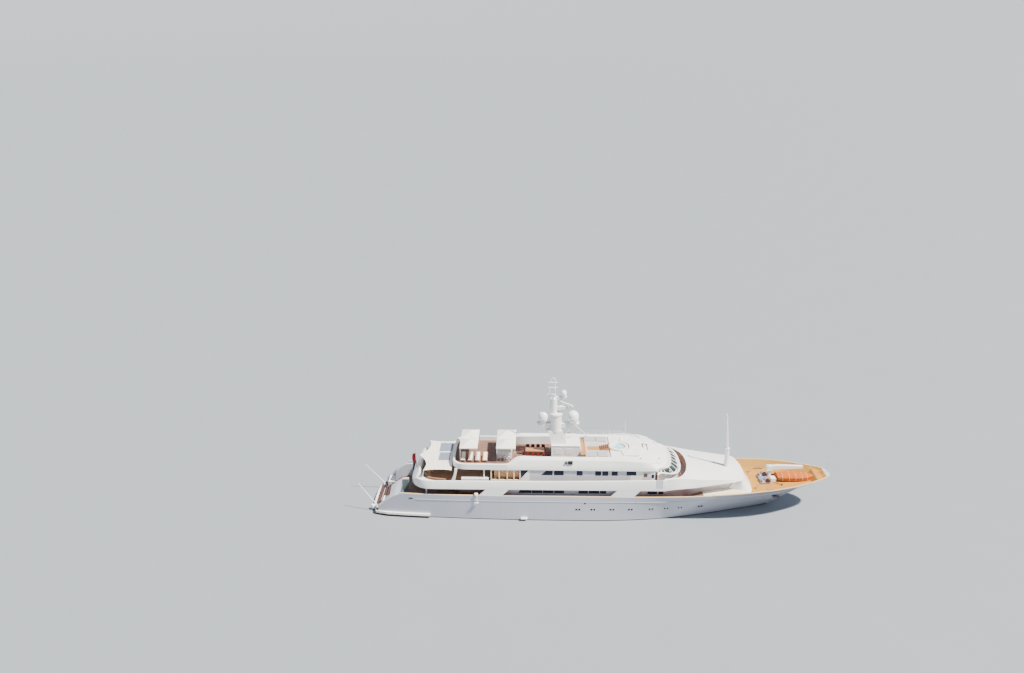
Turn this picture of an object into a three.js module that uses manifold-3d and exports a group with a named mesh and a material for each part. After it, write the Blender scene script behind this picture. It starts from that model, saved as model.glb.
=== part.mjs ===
// A three-deck displacement motor yacht, 70 m long, as a scale model at 1:2.
// Every size below is the full-size boat's, in metres. The group at the end scales it to millimetres.
// Frame: +X to the bow, +Y to port, +Z up. Origin on the waterline, on the centreline, amidships.
import * as THREE from 'three'
import { mergeVertices } from 'three/addons/utils/BufferGeometryUtils.js'
import Module from 'manifold-3d'

const wasm = await Module()
wasm.setup()

// Driving dimensions
const MODEL_SCALE = 1 / 2
const MM_PER_METRE = 1000
const SEAT = 0.0006            // 0.3 mm in the model, between pieces that bear on each other
const RUN = 0.014              // 7 mm in the model, beside a piece that moves
const MAIN_DECK = 3.1
const BULWARK_TOP = 4.1
const UPPER_SLAB = 5.15        // underside of the upper deck
const UPPER_DECK = 5.55
const SUN_SLAB = 7.95          // underside of the sundeck
const SUN_DECK = 8.15
const SUN_RAIL_AFT = 8.85      // top of the low bulwark round the aft sundeck
const COAMING = 9.5            // top of the wide coaming round the forward sundeck
const PLATE = 0.25             // thickness of a bulwark
const HOUSE_HALF = 4.95        // main deckhouse
const UPPER_HOUSE_HALF = 4.8
const PLATFORM_TOP = 0.7

// Helpers: closed shapes, in metres
const V2 = (points) => points.map(([x, y]) => new THREE.Vector2(x, y))
const shapeOf = (points) => new THREE.Shape(V2(points))

// A plan outline (x, y) raised from z0 to z1
function raised(points, z0, z1) {
  const shape = points instanceof THREE.Shape ? points : shapeOf(points)
  const body = new THREE.ExtrudeGeometry(shape, { depth: z1 - z0, bevelEnabled: false, curveSegments: 8 })
  return body.translate(0, 0, z0)
}

// A side profile (x, z) carried across from y0 to y1
function across(points, y0, y1) {
  const body = new THREE.ExtrudeGeometry(shapeOf(points), { depth: y1 - y0, bevelEnabled: false })
  return body.rotateX(Math.PI / 2).translate(0, y1, 0)
}

// The same on the centreline, of one half-breadth either way
const bracket = (points, half) => across(points, -half, half)

// A cross-section (y, z) carried along from x0 to x1
function along(points, x0, x1) {
  const body = new THREE.ExtrudeGeometry(shapeOf(points), { depth: x1 - x0, bevelEnabled: false })
  return body.rotateX(Math.PI / 2).rotateZ(Math.PI / 2).translate(x0, 0, 0)
}

function box(x0, x1, y0, y1, z0, z1) {
  const body = new THREE.BoxGeometry(x1 - x0, y1 - y0, z1 - z0)
  return body.translate((x0 + x1) / 2, (y0 + y1) / 2, (z0 + z1) / 2)
}

// A round bar between two points, tapering from r0 to r1
function bar(from, to, r0, r1 = r0, sides = 10) {
  const a = new THREE.Vector3(...from)
  const b = new THREE.Vector3(...to)
  const way = b.clone().sub(a)
  const body = new THREE.CylinderGeometry(r1, r0, way.length(), sides)
  const turn = new THREE.Quaternion().setFromUnitVectors(new THREE.Vector3(0, 1, 0), way.clone().normalize())
  return body.applyQuaternion(turn).translate(...a.add(b).multiplyScalar(0.5).toArray())
}

// A turned body on a vertical axis at (x, y); profile rows are (radius, z)
function turned(profile, x, y, sides = 16) {
  return new THREE.LatheGeometry(V2(profile), sides).rotateX(Math.PI / 2).translate(x, y, 0)
}

// A body through cross-sections with equal numbers of points. Each row is [position, outline]: the outline is
// (y, z) at a position x, or (x, y) at a height z when upright
function loft(rows, upright = false) {
  const count = rows[0][1].length
  const turnedOver = THREE.ShapeUtils.area(V2(rows[0][1])) < 0
  const outlines = rows.map(([, outline]) => (turnedOver ? outline.slice().reverse() : outline))
  const points = outlines.flatMap((outline, s) => outline.map(([u, v]) =>
    (upright ? [u, v, rows[s][0]] : [rows[s][0], u, v])))
  const index = []
  for (let s = 0; s + 1 < rows.length; s++) {
    for (let i = 0; i < count; i++) {
      const a = s * count + i
      const b = s * count + (i + 1) % count
      index.push(a, b, a + count, b, b + count, a + count)
    }
  }
  const last = (rows.length - 1) * count
  for (const [a, b, c] of THREE.ShapeUtils.triangulateShape(V2(outlines[0]), [])) index.push(a, c, b)
  for (const [a, b, c] of THREE.ShapeUtils.triangulateShape(V2(outlines[rows.length - 1]), [])) {
    index.push(last + a, last + b, last + c)
  }
  const body = new THREE.BufferGeometry()
  body.setAttribute('position', new THREE.Float32BufferAttribute(points.flat(), 3))
  body.setIndex(index)
  return body
}

function solid(body) {
  const bare = body.clone()
  bare.deleteAttribute('normal')
  bare.deleteAttribute('uv')
  const merged = mergeVertices(bare, 1e-6)
  return new wasm.Manifold(new wasm.Mesh({
    numProp: 3,
    vertProperties: new Float32Array(merged.attributes.position.array),
    triVerts: new Uint32Array(merged.index.array),
  }))
}

function surface(manifold) {
  const mesh = manifold.getMesh()
  const body = new THREE.BufferGeometry()
  body.setAttribute('position', new THREE.BufferAttribute(new Float32Array(mesh.vertProperties), 3))
  body.setIndex(new THREE.BufferAttribute(new Uint32Array(mesh.triVerts), 1))
  return body
}

const joined = (...bodies) => surface(bodies.map(solid).reduce((a, b) => a.add(b)))
const less = (body, ...tools) => surface(tools.map(solid).reduce((a, b) => a.subtract(b), solid(body)))
const shared = (...bodies) => surface(bodies.map(solid).reduce((a, b) => a.intersect(b)))

// The same body on the other side of the centreline
function mirrored(body) {
  const other = body.index ? body.toNonIndexed() : body.clone()
  other.deleteAttribute('uv')
  other.deleteAttribute('normal')
  const p = other.attributes.position
  for (let i = 0; i < p.count; i += 3) {
    const [a, b, c] = [0, 2, 1].map((k) => [p.getX(i + k), -p.getY(i + k), p.getZ(i + k)])
    p.setXYZ(i, ...a)
    p.setXYZ(i + 1, ...b)
    p.setXYZ(i + 2, ...c)
  }
  return mergeVertices(other, 1e-6)
}

// A smooth curve through rows [x, value]
function through(rows) {
  const slope = rows.map((_, i) => {
    const a = rows[Math.max(i - 1, 0)]
    const b = rows[Math.min(i + 1, rows.length - 1)]
    return (b[1] - a[1]) / (b[0] - a[0])
  })
  return (x) => {
    let i = rows.findIndex((row) => row[0] > x) - 1
    if (i < -1) i = rows.length - 2
    i = Math.min(Math.max(i, 0), rows.length - 2)
    const [x0, y0] = rows[i]
    const [x1, y1] = rows[i + 1]
    const h = x1 - x0
    const t = Math.min(Math.max((x - x0) / h, 0), 1)
    const s = 1 - t
    return s * s * (1 + 2 * t) * y0 + t * t * (3 - 2 * t) * y1 + h * t * s * (s * slope[i] - t * slope[i + 1])
  }
}

const inOrder = (a, b) => [Math.min(a, b), Math.max(a, b)]

// Symmetric outline from points of the port side, listed from aft to forward
const bothSides = (port) => [...port, ...port.filter(([, y]) => y > 0).reverse().map(([x, y]) => [x, -y])]

// Pieces, named and coloured
const yacht = new THREE.Group()
const PAINT = {
  white: { color: 0xf1f1ee, roughness: 0.3, metalness: 0 },
  shade: { color: 0xd7d9db, roughness: 0.4, metalness: 0 },
  steel: { color: 0xc9ccd0, roughness: 0.25, metalness: 1 },
  bronze: { color: 0xa98248, roughness: 0.35, metalness: 1 },
  canvas: { color: 0xeceae2, roughness: 0.9, metalness: 0 },
  cushion: { color: 0xe9e4da, roughness: 0.9, metalness: 0 },
  tan: { color: 0xb48a62, roughness: 0.8, metalness: 0 },
  orange: { color: 0xe8702a, roughness: 0.8, metalness: 0 },
  red: { color: 0x7c1424, roughness: 0.9, metalness: 0 },
  dark: { color: 0x23262b, roughness: 0.4, metalness: 0 },
  glass: { color: 0x35464c, roughness: 0.1, metalness: 0 },
}

function piece(name, body, paint) {
  const mesh = new THREE.Mesh(body, new THREE.MeshStandardMaterial(PAINT[paint]))
  mesh.name = name
  yacht.add(mesh)
}

function pair(name, starboardBody, paint) {
  piece(`${name}_starboard`, starboardBody, paint)
  piece(`${name}_port`, mirrored(starboardBody), paint)
}

// Hull: columns are x, half-breadth at the sheer, half-breadth at the waterline, height of the sheer,
// height of the keel or stem, fullness of the bilge, and flare of the topsides
const HULL = [
  [-33.9, 4.85, 4.55, 4.1, -0.30, 3.2, 1.0],
  [-32.5, 5.08, 4.72, 4.1, -0.50, 3.2, 1.0],
  [-30.5, 5.30, 4.92, 4.1, -0.78, 3.2, 1.0],
  [-28.0, 5.52, 5.12, 4.1, -1.10, 3.2, 1.0],
  [-24.0, 5.72, 5.35, 4.1, -1.80, 3.2, 1.0],
  [-19.0, 5.84, 5.60, 4.1, -2.70, 3.2, 1.0],
  [-13.0, 5.90, 5.78, 4.1, -3.50, 3.2, 1.0],
  [-6.0, 5.90, 5.85, 4.1, -3.80, 3.0, 1.0],
  [0.0, 5.90, 5.80, 4.1, -3.80, 2.8, 1.0],
  [6.0, 5.90, 5.35, 4.1, -3.80, 2.5, 1.0],
  [11.0, 5.90, 4.50, 4.20, -3.80, 2.2, 1.1],
  [15.0, 5.90, 3.45, 4.37, -3.80, 2.0, 1.1],
  [18.5, 5.88, 2.45, 4.60, -3.72, 1.8, 1.15],
  [21.5, 5.75, 1.48, 4.83, -3.55, 1.6, 1.2],
  [23.6, 5.50, 0.80, 4.97, -3.20, 1.5, 1.2],
  [24.9, 5.30, 0.35, 5.04, -1.90, 1.4, 1.2],
  [25.5, 5.20, 0.14, 5.07, -0.30, 1.2, 1.15],
  [27.0, 4.83, 0, 5.14, 0.81, 1, 0.95],
  [29.0, 4.20, 0, 5.22, 1.97, 1, 0.85],
  [31.0, 3.35, 0, 5.31, 3.12, 1, 0.75],
  [32.5, 2.66, 0, 5.39, 3.98, 1, 0.65],
  [33.7, 1.95, 0, 5.45, 4.62, 1, 0.55],
  [34.5, 1.30, 0, 5.47, 4.98, 1, 0.5],
  [34.9, 0.70, 0, 5.48, 5.12, 1, 0.5],
]
const column = (k) => through(HULL.map((row) => [row[0], row[k]]))
const [sheerHalf, waterHalf, sheerZ, keelZ, bilge, flare] = [1, 2, 3, 4, 5, 6].map(column)
const KEEL_HALF = 0.12
const LEVELS_BELOW = 7
const LEVELS_ABOVE = 6

// Half-breadth of the hull at station x and height z
function hullHalf(x, z) {
  const [top, foot] = [sheerZ(x), keelZ(x)]
  if (foot >= -0.2) {
    const up = Math.max((z - foot) / (top - foot), 0)
    return Math.max(KEEL_HALF, sheerHalf(x) * up ** flare(x))
  }
  const water = waterHalf(x)
  if (z >= 0) return water + (sheerHalf(x) - water) * Math.min(z / top, 1) ** flare(x)
  const down = Math.min(z / foot, 1)
  return Math.max(KEEL_HALF, water * (1 - down ** bilge(x)) ** (1 / bilge(x)))
}

// Height of the hull's bottom at station x, out at the rudders and propellers
function hullFloor(x) {
  let z = 0
  while (z > keelZ(x) && hullHalf(x, z) > PROP.y - 0.15) z -= 0.005
  return z
}

function hullRing(x, grow = 0) {
  const [top, foot] = [sheerZ(x), keelZ(x)]
  const levels = []
  for (let i = 0; i <= LEVELS_BELOW + LEVELS_ABOVE; i++) {
    if (foot < -0.2) {
      const t = i / LEVELS_BELOW
      levels.push(i <= LEVELS_BELOW ? foot * Math.cos(t * Math.PI / 2) ** 1.2
        : top * (i - LEVELS_BELOW) / LEVELS_ABOVE)
    } else levels.push(foot + (top - foot) * i / (LEVELS_BELOW + LEVELS_ABOVE))
  }
  const port = levels.map((z) => [hullHalf(x, z) + grow, z])
  return [x, [...port, ...port.slice().reverse().map(([y, z]) => [-y, z])]]
}

// Exposed decks: main deck aft, a ramp up to a shelf beside the fore house, then a sunken well in the
// foredeck with a small bow deck before it
const RAMP = { foot: 9, head: 16 }
const SHELF_DROP = 0.28
const WELL_DROP = 0.95
const WELL = { aft: 21.25, fore: 32.75 }
const BOW_DECK_END = 34.2
const OVERLAP = 0.1
const shelfZ = (x) => {
  const fore = sheerZ(x) - SHELF_DROP
  const t = Math.min(Math.max((x - RAMP.foot) / (RAMP.head - RAMP.foot), 0), 1)
  return MAIN_DECK + (fore - MAIN_DECK) * t * t * (3 - 2 * t)
}
const wellZ = (x) => sheerZ(x) - WELL_DROP

// The space over a deck, between the bulwarks
function overDeck(stations, floorZ) {
  return loft(stations.map((x) => {
    const [z0, z1] = [floorZ(x), sheerZ(x)]
    const low = hullHalf(x, z0) - PLATE
    const high = hullHalf(x, z1) - PLATE
    return [x, [[low, z0], [high, z1], [high, z1 + 2], [-high, z1 + 2], [-high, z1], [-low, z0]]]
  }))
}

// Stern: steps up from the swim platform between two broad shoulders, each with a mooring recess
const STEP_COUNT = 6
const STAIR = { foot: -33.6, top: -31, half: 2.2 }
// Shoulders: x, height beside the stair, height at the hull's side
const SHOULDER = [
  [-34.5, 1.2, 0.95],
  [-33.9, 1.55, 1.5],
  [-33.35, 2.3, 1.88],
  [-32.1, 3.7, 3.05],
  [-31.3, 4.4, 3.6],
  [-30.4, 5.0, 3.95],
  [-29.9, 5.1, 4.18],
  [-28.5, 5.1, 4.18],
]
const SHOULDER_SIDE = 5.2
const LANDING = { aft: -33.4, fore: -32.1, outer: 4.35, z: 1.9 }
const RECESS = { aft: -30.4, fore: -29.4, inner: 2.65 }

function overShoulders() {
  const out = 7
  return loft(SHOULDER.map(([x, inner, outer]) => {
    const edge = inner + (outer - inner) * (out - STAIR.half) / (SHOULDER_SIDE - STAIR.half)
    return [x, [[-out, edge], [-STAIR.half, inner], [STAIR.half, inner], [out, edge], [out, 9], [-out, 9]]]
  }))
}

function stairWell() {
  const rise = (MAIN_DECK - PLATFORM_TOP) / STEP_COUNT
  const going = (STAIR.top - STAIR.foot) / (STEP_COUNT - 1)
  const profile = [[SHOULDER[0][0], PLATFORM_TOP]]
  for (let i = 0; i < STEP_COUNT; i++) {
    const x = STAIR.foot + i * going
    profile.push([x, PLATFORM_TOP + i * rise], [x, PLATFORM_TOP + (i + 1) * rise])
  }
  const fore = RECESS.aft + OVERLAP
  profile.push([fore, MAIN_DECK], [fore, 7], [SHOULDER[0][0], 7])
  return across(profile, -STAIR.half, STAIR.half)
}

// Everything that the decks, the stair and the shoulders cut out of the hull
function hullCuts() {
  const aft = [RECESS.aft, -28, -24, -19, -13, -6, 0, 6, 9, 10.5, 12, 13.5, 15, 16, 18.5, 20, WELL.aft]
  const well = [WELL.aft - OVERLAP, 22.5, 24, 26, 28, 30, 31.5, WELL.fore]
  const bow = [WELL.fore - OVERLAP, 33.3, 33.8, BOW_DECK_END]
  const stairSides = [-1, 1].map((side) => box(RECESS.aft - 1, RECESS.fore, ...inOrder(side * STAIR.half,
    side * RECESS.inner), 2, 7))
  const landing = box(LANDING.aft, LANDING.fore, -LANDING.outer, LANDING.outer, LANDING.z, 7)
  const apron = box(-35, LANDING.aft + OVERLAP, -LANDING.outer, LANDING.outer, PLATFORM_TOP, 7)
  return [less(overDeck(aft, shelfZ), ...stairSides), overDeck(well, wellZ), overDeck(bow, shelfZ),
    stairWell(), overShoulders(), landing, apron]
}

// Propellers and rudders, under the flat run aft
const PROP = { x: -26.9, y: 2.3, z: -2.5, r: 1.02, hub: 0.2, hubLength: 0.5, blades: 5, tilt: 0.75 }
const RUDDER = { x: -28.75, y: 2.3, top: -1.3, foot: -3.45, half: 0.12, boss: 0.17 }
const SHAFT_END_X = PROP.x + 0.2
const BRACKET_X = PROP.x + 0.75
// Stabiliser fins: middle of the root, and the angle of the stock below level
const FIN = { x: -1.2, y: 4.86, z: -2.92, span: 1.0, thick: 0.09, slope: 0.85, boss: 0.15 }

function hullBody() {
  const shell = loft(HULL.map(([x]) => hullRing(x)))
  const bulb = new THREE.SphereGeometry(1, 16, 10).scale(4.1, 0.85, 1.0).translate(24.6, 0, -2.55)
  const skeg = across([[-25.5, -1.2], [-14, -3.0], [-11, -3.7], [-24.5, -3.35]], -0.14, 0.14)
  const jackstaff = bar([34.5, 0, 4.9], [34.75, 0, 7.2], 0.045, 0.03, 8)
  const rudderBossZ = hullFloor(RUDDER.x)
  const finRoot = [FIN.y - SEAT * Math.cos(FIN.slope), FIN.z + SEAT * Math.sin(FIN.slope)]
  const gear = [-1, 1].flatMap((side) => [
    bar([RUDDER.x, side * RUDDER.y, rudderBossZ - 0.06], [RUDDER.x, side * RUDDER.y, -0.2], RUDDER.boss),
    bar([FIN.x, side * finRoot[0], finRoot[1]], [FIN.x, side * (finRoot[0] - Math.cos(FIN.slope)),
      finRoot[1] + Math.sin(FIN.slope)], FIN.boss, FIN.boss, 12),
    bar([SHAFT_END_X - 0.1, side * PROP.y, PROP.z], [-19, side * PROP.y * 0.82, -1.5], 0.11, 0.11, 10),
    ...[-0.55, 0.55].map((spread) => bar([BRACKET_X, side * PROP.y, PROP.z + 0.1],
      [BRACKET_X, side * (PROP.y + spread), -0.7], 0.09, 0.12, 6)),
    bar([PROP.x + 0.35, side * PROP.y, PROP.z], [PROP.x + 1.15, side * PROP.y, PROP.z + 0.1],
      0.19, 0.17, 12)])
  const behindShafts = box(SHAFT_END_X - 1, SHAFT_END_X, -3, 3, PROP.z - 0.3, PROP.z + 0.3)
  return joined(less(joined(shell, bulb, skeg), ...hullCuts()), jackstaff,
    less(joined(...gear), behindShafts))
}
const hull = hullBody()
piece('hull', hull, 'white')

// Swim platform: a rounded slab behind the transom, with a ledge along each quarter
const PLATFORM_UNDER = 0.28
const LEDGE_END_X = -26
const WHIP = { x: -34.3, y: 3.6, socket: 1.0, ball: 0.11, tip: [-37.0, 3.1, 4.45] }

function platformBody() {
  const edge = (grow) => [-33.85, -32.5, -30, -27.5, LEDGE_END_X].map((x) => [x, hullHalf(x, 0.5) + grow])
  const outline = bothSides([[-34.95, 0], [-34.9, 1.8], [-34.7, 3.4], [-34.3, 4.6], ...edge(0.34).slice(1),
    [LEDGE_END_X + 0.1, 5.1], [-30, 4.4], [-33.9, 4.0]])
  const hullSpace = loft(HULL.filter(([x]) => x < -20).map(([x], row) => {
    const [, outline] = hullRing(x, SEAT)
    return [row === 0 ? x - SEAT : x, outline]
  }))
  const sockets = [-1, 1].map((side) => turned([[0, 0.5], [0.16, 0.5], [0.16, 0.75], [0.12, WHIP.socket],
    [0, WHIP.socket]], WHIP.x, side * WHIP.y, 12))
  return joined(less(raised(outline, PLATFORM_UNDER, PLATFORM_TOP), hullSpace), ...sockets)
}
piece('swim_platform', platformBody(), 'white')

// Stern shoulders: the parts of the shoulders above the main bulwark
function sternShoulder() {
  const block = box(-32, RECESS.fore, -6, -STAIR.half, BULWARK_TOP + SEAT, 6)
  const recess = box(RECESS.aft, RECESS.fore + 1, -7, -RECESS.inner, MAIN_DECK, 7)
  return less(block, overShoulders(), recess)
}
pair('stern_shoulder', sternShoulder(), 'white')

// Main deckhouse: its forward end stands on the ramp of the deck
const HOUSE = { aft: -22, fore: 12 }
const hullLifted = hull.clone().translate(0, 0, SEAT)
const SALOON_DOOR = { half: 0.9, thick: 0.08, top: 4.75 }

function mainDeckhouse() {
  const fore = HOUSE.fore - SEAT
  const outline = bothSides([[HOUSE.aft, 0], [HOUSE.aft, 4.3], [HOUSE.aft + 0.7, HOUSE_HALF],
    [9, HOUSE_HALF], [fore, 4.45], [fore, 0]])
  const doorway = box(HOUSE.aft - 0.1, HOUSE.aft + 0.6, -SALOON_DOOR.half, SALOON_DOOR.half, 2, 4.7)
  return less(raised(outline, MAIN_DECK + SEAT, UPPER_SLAB - SEAT), doorway, hullLifted)
}
piece('main_deckhouse', mainDeckhouse(), 'white')

// Saloon doors: a pair of sliding leaves just outside the aft wall
function saloonDoor() {
  const [aft, fore] = [HOUSE.aft - RUN - SALOON_DOOR.thick, HOUSE.aft - RUN]
  const leaf = box(aft, fore, -SALOON_DOOR.half - 0.1, -RUN / 2, MAIN_DECK + RUN, SALOON_DOOR.top)
  const hanger = box(aft + 0.02, fore - 0.02, -SALOON_DOOR.half, -0.1, SALOON_DOOR.top - 0.1,
    UPPER_SLAB - SEAT)
  return joined(leaf, hanger)
}
pair('saloon_door', saloonDoor(), 'glass')

// Fore house and coach roof: a low wedge over the fore end of the main deck.
// Columns: x, half-breadth and height of the eave, the same of the shoulder, and height of the crown
const COACH = [
  [9.0, 5.84, 5.15, 5.76, 6.95, 7.1],
  [11.0, 5.78, 5.4, 5.5, 7.0, 7.25],
  [13.0, 5.42, 5.4, 5.1, 6.8, 7.25],
  [14.5, 5.2, 5.5, 4.95, 6.6, 7.0],
  [17.0, 4.8, 5.7, 4.55, 6.4, 6.7],
  [20.0, 4.25, 5.92, 4.15, 6.15, 6.35],
  [21.6, 3.95, 6.0, 3.9, 6.03, 6.1],
]
const CAMBER_STEPS = 8
// Plans of the coach roof's front edge, and of the foot of the apron that slopes down from it to the foredeck
const COACH_FRONT = [[20.9, 3.9], [21.3, 2.6], [21.5, 1.4], [21.55, 0]]
const APRON_FOOT = [[18.8, 3.3], [21.25, 4.2], [22.35, 3.7], [22.75, 1.9], [22.85, 0]]
const APRON_UNDER = 3.9
const APRON_HEAD = 6.05
// Walls under the coach roof, set in from its eaves
const FORE_HOUSE = [[HOUSE.fore, 4.4], [14, 3.9], [17, 3.5], [20, 3.2], [21, 3.15]]
// Portuguese bridge: plan of the inside of the breast-high wall before the wheelhouse
const WALK_IN = [[9, 5.38], [10.3, 5.25], [11.0, 5.1], [11.78, 4.35], [12.5, 2.95], [12.85, 1.2], [12.88, 0]]

function coachRoof() {
  const shell = loft(COACH.map(([x, eave, eaveZ, shoulder, shoulderZ, crown], row) => {
    const rim = []
    for (let i = 0; i <= CAMBER_STEPS; i++) {
      const y = shoulder * (1 - 2 * i / CAMBER_STEPS)
      rim.push([y, shoulderZ + (crown - shoulderZ) * (1 - (y / shoulder) ** 2)])
    }
    return [row === 0 ? x + SEAT : x, [[eave, eaveZ], ...rim, [-eave, eaveZ]]]
  }))
  const top = shared(shell, raised(bothSides([[8.9, 6.2], [20.6, 6.2], ...COACH_FRONT]), UPPER_SLAB, 8))
  const apronTop = bothSides([[20, 3.9], ...COACH_FRONT])
  const apron = loft([[APRON_UNDER, bothSides(APRON_FOOT)], [APRON_HEAD, apronTop]], true)
  const walls = raised(bothSides(FORE_HOUSE), 3, 6)
  const neck = raised(bothSides([[COACH[0][0] + SEAT, HOUSE_HALF], [HOUSE.fore, 4.45]]), UPPER_SLAB, 5.5)
  const walk = raised(bothSides([[8, WALK_IN[0][1]], ...WALK_IN]), UPPER_DECK, 8)
  return less(joined(top, apron, walls, neck), walk, hullLifted)
}
const coach = coachRoof()
piece('coach_roof', coach, 'white')

// Upper deck: a slab with a broad band of bulwark, and slanted fins down to the main bulwark
const UPPER_AFT_X = -28.9
const UPPER_OUT = [[UPPER_AFT_X, 0], [-28.85, 2.4], [-28.45, 4.1], [-27.6, 5.2], [-26.4, 5.76], [-25, 5.85],
  [9, 5.85]]
const UPPER_IN = [[-27.5, 0], [-27.45, 2.6], [-27.0, 4.2], [-26.2, 5.2], [-25, 5.85 - PLATE],
  [9.5, 5.85 - PLATE]]
// Height of the band's top edge: x, z. It slopes down aft across the stern
const BAND_TOP = [[-30, 5.3], [-28.9, 5.3], [-27.85, 6.5], [-15, 6.5], [-6, 6.58], [2.5, 6.74], [9.2, 6.92]]
const GATE = { aft: 7.7, fore: 8.75, sill: UPPER_DECK + 0.02, thick: 0.1 }
// Slanted fins: aft and fore ends at the foot, and how far the head leans forward
const FINS = [[-18.5, -15.1, 1.1], [1.1, 4.5, 1.0]]
const AFT_PILLAR = { x: -26.5, y: 4.6, r: 0.12 }
// Awning poles and the ensign staff on the after bulwark: foot x, y, then head x, y, z, and radius
const AWNING = { z: 7.78, fore: -22.62, thick: 0.04 }
const STAFF_R = 0.045
const STERN_POLES = [
  [-28.25, 0, -27.85, 0, AWNING.z + 0.1, 0.05],
  [-27.2, 5.1, -26.75, 5.0, AWNING.z + 0.1, 0.05],
  [-27.2, -5.1, -26.75, -5.0, AWNING.z + 0.1, 0.05],
  [-28.45, 0, -28.6, 0, 8.85, STAFF_R],
]
const POLE_FOOT_Z = 5.7

function upperDeck() {
  const band = shared(raised(bothSides(UPPER_OUT), UPPER_SLAB, 8),
    across([[-30, UPPER_SLAB - 1], [9.2, UPPER_SLAB - 1], ...BAND_TOP.slice().reverse()], -7, 7))
  const fins = FINS.flatMap(([aft, fore, lean]) => [-1, 1].map((side) => across(
    [[aft, BULWARK_TOP + SEAT], [fore, BULWARK_TOP + SEAT], [fore + lean, 5.2], [aft + lean, 5.2]],
    side > 0 ? 5.62 : -5.84, side > 0 ? 5.84 : -5.62)))
  const poles = STERN_POLES.map(([x0, y0, x1, y1, z1, r]) =>
    bar([x0, y0, POLE_FOOT_Z], [x1, y1, z1], r, r, 8))
  const pillars = [-1, 1].map((side) => bar([AFT_PILLAR.x, side * AFT_PILLAR.y, MAIN_DECK + SEAT],
    [AFT_PILLAR.x, side * AFT_PILLAR.y, UPPER_SLAB + 0.1], AFT_PILLAR.r, AFT_PILLAR.r, 10))
  const underAwning = box(-28.2, -20, -6, 6, AWNING.z - SEAT, 12)
  const gateways = [-1, 1].map((side) => box(GATE.aft, GATE.fore, side > 0 ? 5.5 : -6, side > 0 ? 6 : -5.5,
    GATE.sill, 8))
  const well = raised(bothSides(UPPER_IN), UPPER_DECK, 9)
  const walls = less(joined(band, ...fins), well, ...gateways)
  return joined(walls, less(joined(...poles), underAwning), ...pillars)
}
piece('upper_deck', upperDeck(), 'white')

// Boarding gates in the band, each hung on its fore edge
function gate() {
  return shared(box(GATE.aft + RUN, GATE.fore - SEAT, -5.85, -5.85 + GATE.thick, GATE.sill + RUN, 6.88),
    across([[7, 5], [9.2, 5], [9.2, 6.9], [7, 6.84]], -7, 7))
}
pair('boarding_gate', gate(), 'white')

// Upper deckhouse, with a recess for a door on each side, and the glazed winter garden aft of it
const UPPER_HOUSE = { aft: -11, fore: 4 }
const SIDE_DOOR = { aft: 6.95, fore: 7.65, sill: UPPER_DECK + 0.03, top: 7.55, thick: 0.1 }
piece('upper_deckhouse', raised(bothSides([[UPPER_HOUSE.aft, UPPER_HOUSE_HALF],
  [UPPER_HOUSE.fore - SEAT, UPPER_HOUSE_HALF]]), UPPER_DECK + SEAT, SUN_SLAB - SEAT), 'shade')

const GARDEN = { aft: -16.8, posts: [-16.7, -15.5, -14.3, -13.3, -12.4], beam: 0.16 }
function winterGarden() {
  const b = GARDEN.beam
  const [z0, z1, y] = [UPPER_DECK + SEAT, SUN_SLAB - SEAT, UPPER_HOUSE_HALF]
  const fore = UPPER_HOUSE.aft - SEAT
  const rails = [[z0, z0 + 0.7], [z1 - b, z1]].flatMap(([low, high]) => [
    box(GARDEN.aft, fore, y - b, y, low, high), box(GARDEN.aft, fore, -y, b - y, low, high)])
  const posts = GARDEN.posts.flatMap((x) => [-1, 1].map((s) => box(x - b / 2, x + b / 2,
    s > 0 ? y - b : -y, s > 0 ? y : b - y, z0, z1)))
  const aftPosts = [-2.4, -0.9, 0.9, 2.4].map((at) =>
    box(GARDEN.aft, GARDEN.aft + b, at - b / 2, at + b / 2, z0, z1))
  const head = box(GARDEN.aft, GARDEN.aft + b, -y, y, z1 - b, z1)
  return joined(...rails, ...posts, ...aftPosts, head)
}
piece('winter_garden_frame', winterGarden(), 'tan')

// Wheelhouse: hollow, with raked front windows. Columns: x, y of the wall's foot on the port side
const BRIDGE_PLAN = [[UPPER_HOUSE.fore, 4.8], [8.05, 4.8], [8.3, 4.1], [9.5, 4.25], [10.3, 4.2], [11.05, 3.5],
  [11.5, 1.8], [11.6, 0]]
const BRIDGE_SILL = 7.35
const BRIDGE_LEDGE = 0.06      // width of the sill outside the glass
const BRIDGE_RAKE = 1.1        // how far the window heads stand behind the foot of the wall
const BRIDGE_WALL = 0.2
const BRIDGE_FLOOR = UPPER_DECK + 0.12
const BRIDGE_FRONT_X = 11.6
const RAKE_FROM_X = 8.1
const HEAD_TAPER = 0.18
// Window bars: x and y in the plan of the wall, and the way each faces, in radians from the bow
const BRIDGE_BARS = [[11.55, 0.65, 0], [11.5, 1.9, 0.2], [11.2, 3.05, 0.55], [10.75, 3.85, 0.9],
  [9.9, 4.25, Math.PI / 2]]
const BRIDGE_BAR = 0.12
const PANES = { aft: 8.75, low: BRIDGE_SILL + 0.08, high: SUN_SLAB - 0.14 }

function bridgeShell(inset, z0, sill, z1) {
  const row = (z, lean) => [z, bothSides(BRIDGE_PLAN.map(([x, y], i) => {
    const part = Math.max(x - RAKE_FROM_X, 0) / (BRIDGE_FRONT_X - RAKE_FROM_X)
    const back = lean * part + inset * Math.sign(part)
    const out = Math.max(y * (1 - HEAD_TAPER * lean * part) - inset, 0)
    return [i === 0 ? x + Math.max(inset, SEAT) : x - back, out]
  }))]
  return loft([row(z0, 0), row(sill, 0), row(sill + 0.02, BRIDGE_LEDGE), row(z1, BRIDGE_RAKE)], true)
}

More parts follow.
